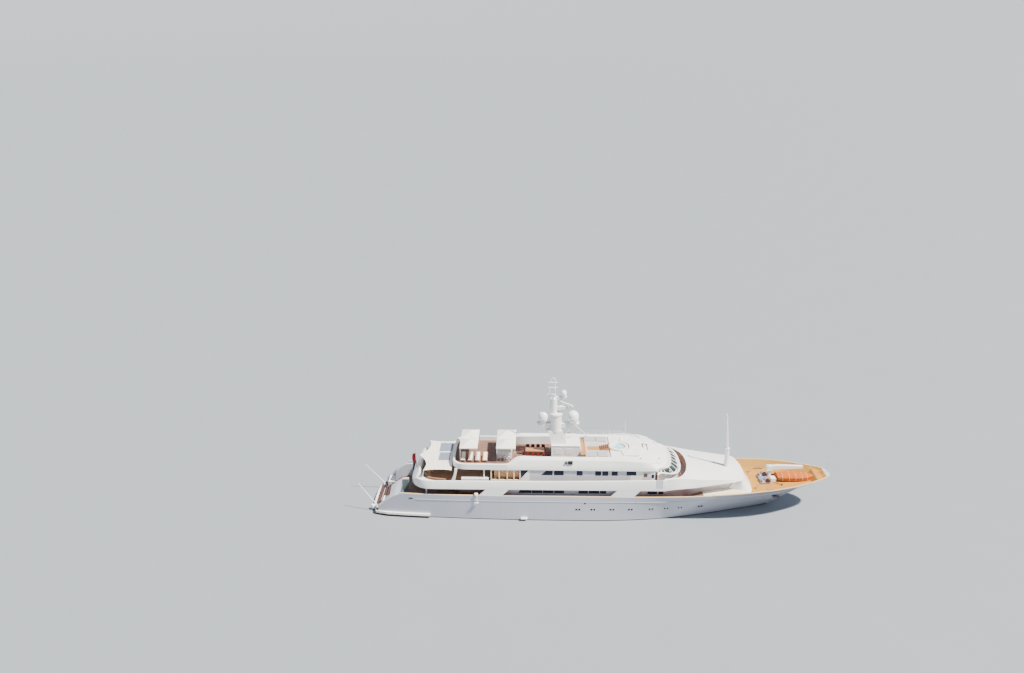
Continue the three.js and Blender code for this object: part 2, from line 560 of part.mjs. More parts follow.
function wheelhouse() {
  const shell = bridgeShell(0, UPPER_DECK + SEAT, BRIDGE_SILL, SUN_SLAB - SEAT)
  const room = bridgeShell(BRIDGE_WALL, BRIDGE_FLOOR, BRIDGE_SILL - BRIDGE_WALL, SUN_SLAB - 0.1)
  const bars = BRIDGE_BARS.flatMap(([x, y, facing]) => [-1, 1].map((side) => {
    const upright = box(-2, 1, -BRIDGE_BAR / 2, BRIDGE_BAR / 2, BRIDGE_SILL, SUN_SLAB)
    return upright.rotateZ(side * facing).translate(x, side * y, 0)
  }))
  const panes = less(box(PANES.aft, 13, -6, 6, PANES.low, PANES.high), ...bars)
  const doorways = [[-6, -4], [4, 6]].map(([y0, y1]) => box(SIDE_DOOR.aft, SIDE_DOOR.fore, y0, y1,
    SIDE_DOOR.sill, SIDE_DOOR.top))
  return less(shell, room, panes, ...doorways)
}
piece('wheelhouse', wheelhouse(), 'white')
const HELM = { aft: 9.0, fore: 9.9, half: 2.2, top: 6.6 }
piece('helm_console', box(HELM.aft, HELM.fore, -HELM.half, HELM.half, BRIDGE_FLOOR + SEAT, HELM.top), 'dark')

// Wheelhouse side doors, hung on their fore edges
pair('wheelhouse_door', box(SIDE_DOOR.aft + RUN, SIDE_DOOR.fore - SEAT, -UPPER_HOUSE_HALF,
  -UPPER_HOUSE_HALF + SIDE_DOOR.thick, SIDE_DOOR.sill + RUN, SIDE_DOOR.top - RUN), 'white')

// Sundeck: slab, low bulwark aft, wide coaming forward, and the smooth roof over the wheelhouse
const SUN_OUT = [[-22.55, 0], [-22.5, 3.2], [-22.2, 4.1], [-21.5, 4.7], [-20.6, 4.9], [6, 5.0], [7.8, 4.85],
  [8.4, 4.25], [9.2, 4.0], [9.8, 3.5], [10.2, 2.7], [10.45, 1.4], [10.55, 0]]
const SUN_SIDE = [[-23, SUN_SLAB], [-23, SUN_RAIL_AFT], [-14.4, SUN_RAIL_AFT], [-13.6, 9.2], [-12.6, COAMING],
  [6.2, COAMING], [7.0, 9.35], [8.2, 8.8], [9.4, 8.42], [11, 8.2], [11, SUN_SLAB]]
const SUN_WELL_AFT = [[-22.25, 0], [-22.2, 3.2], [-21.9, 3.9], [-21.3, 4.45], [-20.5, 4.62], [-14.4, 4.62],
  [-13.0, 3.5], [-12, 3.5]]
// Between the mast house and the hot tub the deck is raised
const COCKPIT = { aft: -2.66, fore: 1.2, half: 3.5, z: 9.2 }
const SUN_WELL_FORE = [[-12.5, COCKPIT.half], [COCKPIT.aft, COCKPIT.half]]
const BATH = { x: 2.55, rim: 1.45, basin: 1.05, top: 9.62, floor: 8.7 }

function sundeck() {
  const body = shared(raised(bothSides(SUN_OUT), SUN_SLAB, 10), across(SUN_SIDE, -6, 6))
  const wells = [bothSides(SUN_WELL_AFT), bothSides(SUN_WELL_FORE)].map((plan) =>
    raised(plan, SUN_DECK, 11))
  const cockpit = box(COCKPIT.aft - OVERLAP, COCKPIT.fore, -COCKPIT.half, COCKPIT.half, COCKPIT.z, 11)
  const bevel = [[-4.65, COAMING], [-4.65, 11], [-6, 11], [-6, 8.35], [-5.0, 8.35]]
  const flank = along(bevel, -13.4, 11)
  const bathSeat = new THREE.CylinderGeometry(BATH.rim + SEAT, BATH.rim + SEAT, 4, 24)
    .rotateX(Math.PI / 2).translate(BATH.x, 0, SUN_DECK + 2)
  const pillar = across([[-22.9, UPPER_DECK + SEAT], [-22.2, UPPER_DECK + SEAT], [-21.75, SUN_SLAB + 0.05],
    [-22.15, SUN_SLAB + 0.05], [-22.3, 7.0]], -4.75, -4.45)
  return joined(less(body, ...wells, cockpit, flank, mirrored(flank), bathSeat), pillar, mirrored(pillar))
}
piece('sundeck', sundeck(), 'white')

// Hot tub, sun pad and seats of the forward cockpit
piece('hot_tub', turned([[0, SUN_DECK + SEAT], [BATH.rim, SUN_DECK + SEAT], [BATH.rim, BATH.top],
  [BATH.basin, BATH.top], [BATH.basin - 0.15, BATH.floor], [0, BATH.floor]], BATH.x, 0, 24), 'white')

function sunPad() {
  const arc = (r, n) => Array.from({ length: n + 1 }, (_, i) => {
    const a = Math.PI / 2 * i / n * 0.9
    return [BATH.x + r * Math.cos(a), r * Math.sin(a)]
  })
  const inner = arc(BATH.rim + 0.15, 6)
  const outline = [[6.2, 0], [6.15, 1.4], [5.9, 2.5], [5.3, 3.2], [3.2, 3.2], ...inner.slice().reverse()]
  const port = outline.filter(([, y]) => y > 0)
  return raised([outline[0], ...port, inner[0], ...port.slice().reverse().map(([x, y]) => [x, -y])],
    COAMING + SEAT, COAMING + 0.16)
}
piece('sun_pad', sunPad(), 'cushion')

// A settee round three sides of the cockpit: depths of its aft part and its arms, and its height
const SETTEE = { aft: 0.4, arm: 1.7, fore: 0.95, half: 3.4, height: 0.4 }

function cockpitSofa() {
  const fore = COCKPIT.aft + SETTEE.aft
  const inside = SETTEE.half - SETTEE.arm
  const outline = [[COCKPIT.aft, -SETTEE.half], [SETTEE.fore, -SETTEE.half], [SETTEE.fore, -inside],
    [fore, -inside], [fore, inside], [SETTEE.fore, inside], [SETTEE.fore, SETTEE.half],
    [COCKPIT.aft, SETTEE.half]]
  return raised(outline, COCKPIT.z + SEAT, COCKPIT.z + SETTEE.height)
}
piece('cockpit_sofa', cockpitSofa(), 'cushion')
piece('aft_sofa', box(-21.2, -19.2, 1.3, 3.0, SUN_DECK + SEAT, SUN_DECK + 0.42), 'cushion')
const BAR = { x: -14.8, long: 1.1, wide: 1.7, top: 9.4 }
const BAR_WELL = { long: 0.8, wide: 1.0, floor: 8.9 }
piece('bar_house', less(box(-BAR.long, BAR.long, -BAR.wide, BAR.wide, SUN_DECK + SEAT, BAR.top),
  box(-BAR_WELL.long, BAR_WELL.long, -BAR_WELL.wide, BAR_WELL.wide, BAR_WELL.floor, 10))
  .translate(BAR.x, 0, 0), 'white')
const TABLE = { x: -10.2, long: 1.4, wide: 0.7, under: 8.85, top: 8.92, footLong: 0.5, footWide: 0.25 }
piece('dining_table', joined(box(-TABLE.long, TABLE.long, -TABLE.wide, TABLE.wide, TABLE.under, TABLE.top),
  box(-TABLE.footLong, TABLE.footLong, -TABLE.footWide, TABLE.footWide, SUN_DECK + SEAT, TABLE.under + 0.05))
  .translate(TABLE.x, 0, 0), 'tan')

// Mast house and radar mast
const MAST_HOUSE = { aft: -7.7, fore: -3.4, half: 1.6, top: 10.3 }
const MAST_HOUSE_SIDE = [[MAST_HOUSE.aft, SUN_DECK + SEAT], [-2.7, SUN_DECK + SEAT],
  [MAST_HOUSE.fore, MAST_HOUSE.top], [MAST_HOUSE.aft, MAST_HOUSE.top]]
piece('mast_house', bracket(MAST_HOUSE_SIDE, MAST_HOUSE.half), 'white')

const MAST = { drum: -7.07, column: -7.45, pole: -7.25, top: 20.35 }
const WING_TOP = 13.5
const DOME_ARM_TOP = 17.75
const DOMES = [
  // name, x, seat height, radius
  ['sat_dome_aft', -8.95, WING_TOP, 0.76],
  ['sat_dome_fore', -4.45, WING_TOP, 0.84],
  ['sat_dome_upper', -5.95, DOME_ARM_TOP, 0.45],
]
// Height of a dome's straight wall, as a share of its radius, and the steps of its cap
const DOME_RISE = 1.3
const DOME_STEPS = 6
const SCANNER = { x: -5.5, seat: 16.2, z: 16.4, half: 1.25, heading: Math.PI / 4 }

function radarMast() {
  const footRows = [[MAST_HOUSE.top + SEAT, -7.7, -5.3, 1.0], [12.4, -8.2, -6.1, 0.8]]
  const foot = loft(footRows.map(([z, aft, fore, half]) =>
    [z, [[aft, -half], [fore, -half], [fore, half], [aft, half]]]), true)
  const drum = turned([[0, 12.2], [0.93, 12.2], [0.93, 14.7], [1.06, 14.95], [1.0, 15.15], [0, 15.2]],
    MAST.drum, 0)
  const column = turned([[0, 15], [0.6, 15], [0.55, 17.45], [0.35, 17.65], [0, 17.7]], MAST.column, 0, 12)
  const wing = bracket([[-9.95, 13.3], [-8.3, 12.8], [-5.9, 12.8], [-3.5, 13.3], [-3.5, WING_TOP],
    [-9.95, WING_TOP]], 0.45)
  const domeArm = bracket([[-7.4, 17.1], [-5.6, 17.5], [-5.45, DOME_ARM_TOP], [-7.4, DOME_ARM_TOP]], 0.24)
  const scannerArm = bracket([[-7.4, 15.5], [-5.3, 15.95], [-5.15, SCANNER.seat], [-7.4, SCANNER.seat]], 0.3)
  const spreader = bracket([[-8.6, 12.45], [-8.6, 12.25], [-7.4, 11.9], [-7.4, 12.2]], 0.3)
  const poles = [[MAST.pole, 17.5, MAST.top], [-8.08, 17.9, 19.3]]
  const yards = [[-8.45, -7.1, 18.1], [-8.3, -6.85, 19.2], [-8.25, -6.85, 20.0]]
  const rods = [...poles.map(([x, z0, z1]) => bar([x, 0, z0], [x, 0, z1], 0.07)),
    ...yards.map(([x0, x1, z]) => bar([x0, 0, z], [x1, 0, z], 0.07)),
    ...[18.1, 19.2].map((z) => bar([MAST.pole, -0.8, z], [MAST.pole, 0.8, z], 0.07)),
    bar([-4.0, 0, 13.35], [-5.9, 0, 11.4], 0.09)]
  const hoop = new THREE.TorusGeometry(0.36, 0.06, 8, 14).rotateX(Math.PI / 2)
  hoop.translate(MAST.pole - 0.3, 0, MAST.top)
  return joined(foot, drum, column, wing, domeArm, scannerArm, spreader, ...rods, hoop)
}
piece('radar_mast', radarMast(), 'white')
for (const [name, x, seat, r] of DOMES) {
  const rows = [[0, seat + SEAT], [r * 0.7, seat + SEAT], [r * 0.74, seat + r * 0.2], [r, seat + r * 0.5]]
  for (let i = 0; i <= DOME_STEPS; i++) {
    const a = Math.PI / 2 * i / DOME_STEPS
    rows.push([i === DOME_STEPS ? 0 : r * Math.cos(a), seat + r * (DOME_RISE + Math.sin(a))])
  }
  piece(name, turned(rows, x, 0, 16), 'white')
}
function radarScanner() {
  const beam = box(-0.13, 0.13, -SCANNER.half, SCANNER.half, SCANNER.z, SCANNER.z + 0.24)
  const stand = turned([[0, SCANNER.seat + SEAT], [0.24, SCANNER.seat + SEAT], [0.18, SCANNER.z + 0.05],
    [0, SCANNER.z + 0.05]], 0, 0, 12)
  return joined(beam.rotateZ(SCANNER.heading), stand).translate(SCANNER.x, 0, 0)
}
piece('radar_scanner', radarScanner(), 'shade')

// Foremast
const FOREMAST = { foot: [19.2, 0, 6.2], collar: [19.13, 0, 9.45], head: [18.65, 0, 15.06], spreaderZ: 14.6 }

function foremast() {
  const { foot, collar, head, spreaderZ } = FOREMAST
  const stump = bar(foot, collar, 0.44, 0.29, 12)
  const ring = bar([collar[0], 0, collar[2] - 0.15], collar, 0.36, 0.36, 12)
  const pole = bar([collar[0], 0, collar[2] - 0.15], head, 0.17, 0.1, 8)
  const spreader = bar([head[0], -0.4, spreaderZ], [head[0], 0.4, spreaderZ], 0.05)
  return less(joined(stump, ring, pole, spreader), coach.clone().translate(0, 0, SEAT))
}
piece('foremast', foremast(), 'white')

// Foredeck gear: a covered tender on chocks, a crane over its port side, capstans and a locker
const FOREDECK = wellZ(28)
const TENDER = { gunwale: FOREDECK + 0.65, hem: FOREDECK + 0.27, cover: FOREDECK + 1.12, overhang: 0.06 }
// Columns: x, half-breadth, height of the keel over the deck, and how far the cover's ridge drops there
const TENDER_LINES = [
  [27.0, 0.9, 0.22, 0.12],
  [28.3, 1.0, 0.12, 0],
  [30.4, 1.0, 0.15, 0.03],
  [31.6, 0.75, 0.24, 0.12],
  [32.45, 0.25, 0.36, 0.28],
]
const CHOCKS = [[28.2, 28.45], [31.0, 31.25]]
const CHOCK_HALF = 0.45

// A column's x, moved outwards where it is the first or the last
const movedOut = (x, i, by) => x + by * (i === TENDER_LINES.length - 1) - by * (i === 0)

function tenderHull(grow) {
  return loft(TENDER_LINES.map(([x, half, keel], i) => {
    const [w, gunwale, keelZ] = [half + 3 * grow, TENDER.gunwale + grow, FOREDECK + keel - grow]
    const bilge = [w * 0.75, keelZ + 0.25]
    return [movedOut(x, i, grow), [[w, gunwale], [-w, gunwale], [-bilge[0], bilge[1]], [0, keelZ], bilge]]
  }))
}
piece('tender_hull', tenderHull(0), 'white')

function tenderCover() {
  const body = loft(TENDER_LINES.map(([x, half, , drop], i) => {
    const top = TENDER.cover - drop
    const w = half + TENDER.overhang
    const port = [[w, TENDER.hem], [w, TENDER.gunwale + 0.06], [w * 0.75, top - 0.12]]
    const starboard = port.slice().reverse().map(([y, z]) => [-y, z])
    return [movedOut(x, i, TENDER.overhang), [...port, [0, top], ...starboard]]
  }))
  return less(body, tenderHull(SEAT))
}
piece('tender_cover', tenderCover(), 'orange')

function tenderCradle() {
  const chocks = CHOCKS.map(([x0, x1]) =>
    box(x0, x1, -CHOCK_HALF, CHOCK_HALF, FOREDECK - 0.3, TENDER.hem - RUN))
  const [x0, x1] = [CHOCKS[0][0], CHOCKS[1][1]]
  const rails = [-CHOCK_HALF, CHOCK_HALF - 0.1].map((y) => across([[x0, FOREDECK - 0.3], [x1, FOREDECK - 0.3],
    [x1, wellZ(x1) + 0.06], [x0, wellZ(x0) + 0.06]], y, y + 0.1))
  return less(joined(...chocks, ...rails), tenderHull(SEAT), hullLifted)
}
piece('tender_cradle', tenderCradle(), 'dark')

// Crane: pedestal, turning head with two cheeks, and a tapering boom on a pin between them
const CRANE = { x: 26.1, y: 1.15, pivotZ: 5.7, seat: 5.2, reach: 5.1, half: 0.25, cheek: 0.12,
  headHalf: 0.42, slotDrop: 0.32, hookDrop: 0.25 }

function craneHead() {
  const slot = CRANE.half + RUN
  const [long, wide] = [CRANE.headHalf, slot + CRANE.cheek]
  const block = box(-long, long, -wide, wide, CRANE.seat + SEAT, CRANE.pivotZ + 0.25)
  const opening = box(-1, 1, -slot, slot, CRANE.pivotZ - CRANE.slotDrop, 7)
  return less(block, opening).translate(CRANE.x, CRANE.y, 0)
}

function craneBoom() {
  const { reach, half, pivotZ, hookDrop } = CRANE
  const beam = bracket([[-0.1, pivotZ - 0.28], [1.2, pivotZ - 0.28], [reach, pivotZ - 0.1],
    [reach, pivotZ + 0.28], [1.2, pivotZ + 0.37], [-0.1, pivotZ + 0.2]], half)
  const pin = bar([0, -half - RUN + SEAT, pivotZ], [0, half + RUN - SEAT, pivotZ], 0.1, 0.1, 12)
  const hook = bar([reach - 0.2, 0, pivotZ - hookDrop], [reach - 0.2, 0, pivotZ], 0.05)
  return joined(beam, pin, hook).translate(CRANE.x, CRANE.y, 0)
}
const cranePost = bar([CRANE.x, CRANE.y, 4], [CRANE.x, CRANE.y, CRANE.seat], 0.34, 0.28, 14)
piece('crane_pedestal', less(cranePost, hullLifted), 'white')
piece('crane_head', craneHead(), 'white')
piece('crane_boom', craneBoom(), 'white')

const CAPSTAN = { x: 24.95, y: 1.05, r: 0.28 }
const WINDLASS = { aft: 24.35, fore: 25.7, half: 1.45, top: wellZ(CAPSTAN.x) + 0.22 }
const LOCKER = { aft: 25.98, fore: 26.8, starboard: -0.85, port: 0.1, top: 4.75 }
const GEAR_FOOT = 3.8          // inside the hull; what lies below the deck is cut off

function capstan() {
  const { r } = CAPSTAN
  const z = WINDLASS.top
  const waist = r * 0.72
  const drum = [[0, z + SEAT], [r, z + SEAT], [waist, z + 0.18], [waist, z + 0.38], [r, z + 0.52],
    [0, z + 0.58]]
  return turned(drum, CAPSTAN.x, -CAPSTAN.y, 14)
}
piece('windlass_bed', less(box(WINDLASS.aft, WINDLASS.fore, -WINDLASS.half, WINDLASS.half, GEAR_FOOT,
  WINDLASS.top), hullLifted), 'shade')
pair('capstan', capstan(), 'steel')
piece('deck_locker', less(box(LOCKER.aft, LOCKER.fore, LOCKER.starboard, LOCKER.port, GEAR_FOOT, LOCKER.top),
  hullLifted), 'white')

// Anchors, snug in pockets of the flared bow
const ANCHOR = { x: 26.4, z: 3.0 }
function anchor() {
  const side = hullHalf(ANCHOR.x, ANCHOR.z)
  const shank = box(-0.09, 0.09, -0.12, 0.06, -0.1, 0.75)
  const head = box(-0.5, 0.5, -0.15, 0.1, -0.35, -0.1)
  const body = joined(shank, head)
  return less(body.translate(ANCHOR.x, -side - 0.1, ANCHOR.z), hull.clone().translate(0, -SEAT, 0))
}

// Awning over the after end of the upper deck, with three poles; ensign on its staff
const AWNING_CORNERS = [[-26.85, 5.1], [-27.95, 0]]

function awning() {
  const [[cornerX, cornerY], [tipX]] = AWNING_CORNERS
  const hollow = (x0, y0, x1, y1, dx, dy) => Array.from({ length: 6 }, (_, i) => {
    const t = (i + 1) / 7
    const sag = 4 * t * (1 - t)
    return [x0 + (x1 - x0) * t + dx * sag, y0 + (y1 - y0) * t + dy * sag]
  })
  const port = [[tipX, 0.05], ...hollow(tipX, 0, cornerX, cornerY, 0.75, 0), [cornerX, cornerY],
    ...hollow(cornerX, cornerY, AWNING.fore, 4.95, 0, -0.3), [AWNING.fore, 4.95]]
  const outline = [...port, ...port.slice().reverse().map(([x, y]) => [x, -y])]
  return raised(outline, AWNING.z, AWNING.z + AWNING.thick)
}
piece('awning', awning(), 'canvas')
// The flag hangs limp beside its staff, in thick folds
const FLAG = { head: 8.15, foot: 6.6, half: 0.08 }
const FLAG_LOOSE_EDGE = [[-28.8, 8.02], [-29.02, 7.3], [-29.0, 6.68], [-28.75, 6.58]]

function ensign() {
  const [x0, , x1, , z1] = STERN_POLES[3]
  const beside = (z) => [x0 + (x1 - x0) * (z - POLE_FOOT_Z) / (z1 - POLE_FOOT_Z) - STAFF_R - SEAT, z]
  return bracket([beside(FLAG.head), ...FLAG_LOOSE_EDGE, beside(FLAG.foot)], FLAG.half)
}
piece('ensign', ensign(), 'red')

// Canopies over the aft sundeck: canvas on a frame of four legs, drawn up to a low peak on either side
const CANOPY = { z: 10.62, thick: 0.05, half: 3.25, leg: 0.05, rise: 0.58 }

// One low four-sided peak over the rectangle between x0, x1, y0 and y1
function peak(x0, x1, y0, y1, z, rise) {
  const cone = new THREE.ConeGeometry(Math.SQRT1_2, 1, 4, 1, false, Math.PI / 4)
  return cone.rotateX(Math.PI / 2).scale(x1 - x0, y1 - y0, rise)
    .translate((x0 + x1) / 2, (y0 + y1) / 2, z + rise / 2)
}

const CANOPIES = [['aft', -21.5, -18.8], ['fore', -16.0, -13.1]]
for (const [name, x0, x1] of CANOPIES) {
  const { half, z, leg, thick } = CANOPY
  const inside = half - 0.15
  const legs = [x0 + 0.1, x1 - 0.1].flatMap((x) => [-1, 1].map((side) =>
    bar([x, side * inside, SUN_DECK + SEAT], [x, side * inside, z - leg], leg, leg, 8)))
  const rails = [-inside, 0, inside].map((y) => box(x0, x1, y - leg, y + leg, z - 2 * leg, z - SEAT))
  const ends = [x0, x1 - 2 * leg].map((x) => box(x, x + 2 * leg, -half, half, z - 2 * leg, z - SEAT))
  piece(`canopy_frame_${name}`, joined(...legs, ...rails, ...ends), 'steel')
  const peaks = [[-half, 0], [0, half]].map(([y0, y1]) => peak(x0, x1, y0, y1, z + thick / 2, CANOPY.rise))
  piece(`canopy_${name}`, joined(box(x0, x1, -half, half, z, z + thick), ...peaks), 'canvas')
}

// Mooring whips: long tapering poles, each on a ball that turns on its socket
const whipBall = [WHIP.x, -WHIP.y, WHIP.socket + SEAT + WHIP.ball]
const ball = new THREE.SphereGeometry(WHIP.ball, 12, 8).rotateX(Math.PI / 2).translate(...whipBall)
const whip = bar(whipBall, [WHIP.tip[0], -WHIP.tip[1], WHIP.tip[2]], 0.075, 0.035, 8)
pair('mooring_whip', joined(ball, whip), 'white')

// Propellers, rudders and stabiliser fins
function propeller() {
  const hub = new THREE.CylinderGeometry(PROP.hub * 0.6, PROP.hub, PROP.hubLength, 12).rotateZ(Math.PI / 2)
  const outline = [[0.05, 0.1], [0.26, 0.45], [0.32, 0.75], [0.2, PROP.r], [-0.2, PROP.r], [-0.32, 0.75],
    [-0.26, 0.45], [-0.05, 0.1]]
  const blades = Array.from({ length: PROP.blades }, (_, i) => {
    const body = new THREE.ExtrudeGeometry(shapeOf(outline), { depth: 0.06, bevelEnabled: false })
    body.translate(0, 0, -0.03).rotateX(Math.PI / 2).rotateZ(PROP.tilt).rotateX(i * 2 * Math.PI / PROP.blades)
    return body
  })
  return joined(hub, ...blades)
}
const prop = propeller()
const PROP_X = SHAFT_END_X - SEAT - PROP.hubLength / 2
for (const [side, sign] of [['starboard', -1], ['port', 1]]) {
  const body = sign < 0 ? prop.clone() : mirrored(prop)
  piece(`propeller_${side}`, body.translate(PROP_X, sign * PROP.y, PROP.z), 'bronze')
}

function rudder() {
  const [x, y, w] = [RUDDER.x, -RUDDER.y, RUDDER.half]
  const blade = [[x + 0.42, y], [x + 0.25, y + w], [x - 0.9, y + 0.02], [x - 0.9, y - 0.02],
    [x + 0.25, y - w]]
  const stock = bar([x, y, RUDDER.top - 0.1], [x, y, hullFloor(x) - 0.06 - SEAT], 0.1, 0.1, 10)
  return joined(raised(blade, RUDDER.foot, RUDDER.top), stock)
}
pair('rudder', rudder(), 'bronze')

function stabiliser() {
  const outline = [[0.75, 0], [0.45, -FIN.span], [-0.75, -FIN.span], [-0.75, 0]]
  const body = new THREE.ExtrudeGeometry(shapeOf(outline), { depth: FIN.thick, bevelEnabled: false })
  return body.translate(0, 0, -FIN.thick / 2).rotateX(FIN.slope).translate(FIN.x, -FIN.y, FIN.z)
}
pair('stabiliser_fin', stabiliser(), 'bronze')

pair('anchor', anchor(), 'steel')

yacht.scale.setScalar(MODEL_SCALE * MM_PER_METRE)
export default yacht
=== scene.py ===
"""Looks of the motor yacht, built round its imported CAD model.

Every length and place below is the full-size boat's, in metres; K scales it to the 1:2 model when a mesh
is made. A material's lengths are the model's.
Frame: +X to the bow, +Y to port, +Z up, origin on the waterline amidships.
"""
from math import copysign, cos, exp, floor, hypot, pi, radians, sin

import bmesh
import bpy
from mathutils import Matrix, Vector


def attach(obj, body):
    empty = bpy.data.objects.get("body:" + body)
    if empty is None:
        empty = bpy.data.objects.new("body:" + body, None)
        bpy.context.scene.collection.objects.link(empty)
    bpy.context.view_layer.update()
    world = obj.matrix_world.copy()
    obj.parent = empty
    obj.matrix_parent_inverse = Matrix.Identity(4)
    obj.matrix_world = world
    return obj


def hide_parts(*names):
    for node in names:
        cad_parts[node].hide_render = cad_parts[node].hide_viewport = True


K = 0.5
ROOT = "yacht"
SIDES = ((-1, "starboard"), (1, "port"))
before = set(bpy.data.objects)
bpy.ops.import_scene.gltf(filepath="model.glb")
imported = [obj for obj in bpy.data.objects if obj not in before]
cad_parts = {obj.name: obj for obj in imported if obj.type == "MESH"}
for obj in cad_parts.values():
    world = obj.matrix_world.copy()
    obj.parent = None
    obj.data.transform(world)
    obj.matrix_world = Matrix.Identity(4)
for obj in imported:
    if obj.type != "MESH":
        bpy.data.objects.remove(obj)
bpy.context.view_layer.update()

# Levels of the decks and edges, as in the part's source
MAIN_DECK, BULWARK_TOP = 3.1, 4.1
UPPER_SLAB, UPPER_DECK = 5.15, 5.55
SUN_SLAB, SUN_DECK = 7.95, 8.15
PLATFORM_TOP = 0.7
PLATE = 0.25
# A piece laid on a deck starts this far above it, so that the two surfaces don't fight
FILM, LIFT = 0.002, 0.012


# Camera and light
CAMERA_AT, FOCAL_LENGTH = (-5.4454, -61.9984, 35.2806), 31.509
CAMERA_PITCH, CAMERA_YAW, CAMERA_ROLL = radians(19.262), 0.0225313, 0.00086796
SUN_FROM, SUN_POWER, SKY_POWER = (5, -1.9, 7.8), 14.0, 0.75


def linked(name, data):
    thing = bpy.data.objects.new(name, data)
    bpy.context.scene.collection.objects.link(thing)
    return thing


def set_camera():
    data = bpy.data.cameras.new("camera")
    data.sensor_width, data.lens, data.clip_end = 36.0, FOCAL_LENGTH, 30000
    camera = linked("camera", data)
    forward = Vector((0, cos(CAMERA_PITCH), -sin(CAMERA_PITCH)))
    up, right = Vector((0, -forward.z, forward.y)), Vector((1, 0, 0))
    side = right * cos(CAMERA_ROLL) - up * sin(CAMERA_ROLL)
    top = right * sin(CAMERA_ROLL) + up * cos(CAMERA_ROLL)
    aim = Matrix((side, top, -forward)).transposed().to_4x4()
    camera.matrix_world = Matrix.Translation(CAMERA_AT) @ Matrix.Rotation(CAMERA_YAW, 4, "Z") @ aim
    bpy.context.scene.camera = camera


def set_light():
    sun = bpy.data.lights.new("sun", "SUN")
    sun.energy, sun.angle, sun.color = SUN_POWER, radians(3), (1.0, 0.94, 0.86)
    linked("sun", sun).rotation_euler = Vector(SUN_FROM).to_track_quat("Z", "Y").to_euler()
    world = bpy.data.worlds.new("sky")
    world.use_nodes = True
    sky = world.node_tree.nodes["Background"].inputs
    sky["Color"].default_value, sky["Strength"].default_value = (0.66, 0.77, 0.95, 1), SKY_POWER
    bpy.context.scene.world = world


# Curves and outlines
def clamp(value, low=0, high=1):
    return min(max(value, low), high)


def turn(count):
    """Angles at equal steps round a circle."""
    return [2 * pi * k / count for k in range(count)]


def span(a, b, step):
    n = max(1, round(abs(b - a) / step))
    return [a + (b - a) * i / n for i in range(n + 1)]


def through(rows):
    """A smooth curve through rows (x, value), flat beyond the ends."""
    slope = []
    for i in range(len(rows)):
        a, b = rows[max(i - 1, 0)], rows[min(i + 1, len(rows) - 1)]
        slope.append((b[1] - a[1]) / (b[0] - a[0]))

    def value(x):
        i = next((n for n, row in enumerate(rows) if row[0] > x), len(rows)) - 1
        i = clamp(i, 0, len(rows) - 2)
        (x0, y0), (x1, y1) = rows[i], rows[i + 1]
        h = x1 - x0
        t = clamp((x - x0) / h)
        s = 1 - t
        return (s * s * (1 + 2 * t) * y0 + t * t * (3 - 2 * t) * y1
                + h * t * s * (s * slope[i] - t * slope[i + 1]))
    return value


def columns(rows):
    """A smooth curve for every column after the first, which holds x."""
    return [through([(row[0], row[k]) for row in rows]) for k in range(1, len(rows[0]))]


def straight(rows):
    """A line of straight stretches through rows (x, value)."""
    def value(x):
        for (x0, y0), (x1, y1) in zip(rows, rows[1:]):
            if x <= x1:
                return y0 + (y1 - y0) * clamp((x - x0) / (x1 - x0))
        return rows[-1][1]
    return value


def smoothed(points, step=0.3):
    """Points along a rounded curve through the given ones."""
    out = []
    for i in range(len(points) - 1):
        a, b, c, d = (Vector(points[clamp(i + k, 0, len(points) - 1)]) for k in (-1, 0, 1, 2))
        m = max(1, round((c - b).length / step))
        out += [0.5 * (2 * b + (c - a) * t + (2 * a - 5 * b + 4 * c - d) * t * t
                       + (3 * b - a - 3 * c + d) * t ** 3) for t in (j / m for j in range(m))]
    return out + [Vector(points[-1])]


def eased(line, step=0.2):
    """A rounded plan line of the port side; it crosses the centreline square where it meets it."""
    points = list(line)
    if abs(line[0][1]) < 1e-9:
        points.insert(0, (line[1][0], -line[1][1]))
    if abs(line[-1][1]) < 1e-9:
        points.append((line[-2][0], -line[-2][1]))
    return [(p.x, max(p.y, 0.0)) for p in smoothed(points, step) if p.y > -1e-6]


def evenly(line, count):
    """The same line with a given number of points at equal distances."""
    points = [Vector(p) for p in line]
    reach = [0.0]
    for a, b in zip(points, points[1:]):
        reach.append(reach[-1] + (b - a).length)
    out, k = [], 0
    for i in range(count):
        goal = reach[-1] * i / (count - 1)
        while k < len(points) - 2 and reach[k + 1] < goal:
            k += 1
        p = points[k].lerp(points[k + 1], min((goal - reach[k]) / max(reach[k + 1] - reach[k], 1e-9), 1))
        out.append((p.x, p.y))
    return out


def whole(port, first=1):
    """A closed ring from its port half, which ends on the centreline, and starts on it where first is 1."""
    return list(port) + [(p[0], -p[1], *p[2:]) for p in reversed(port[first:-1])]


def round_the_stern(port):
    """A plan line from the starboard fore end, round the stern, to the port fore end."""
    return [(x, -y) for x, y in reversed(port) if y > 1e-6] + list(port)


def rounded_plan(x0, x1, y0, y1, r, n=4):
    corners = [(x1 - r, y1 - r, 0), (x0 + r, y1 - r, 1), (x0 + r, y0 + r, 2), (x1 - r, y0 + r, 3)]
    return [(cx + r * cos(a), cy + r * sin(a)) for cx, cy, q in corners
            for a in ((q + k / n) * pi / 2 for k in range(n + 1))]


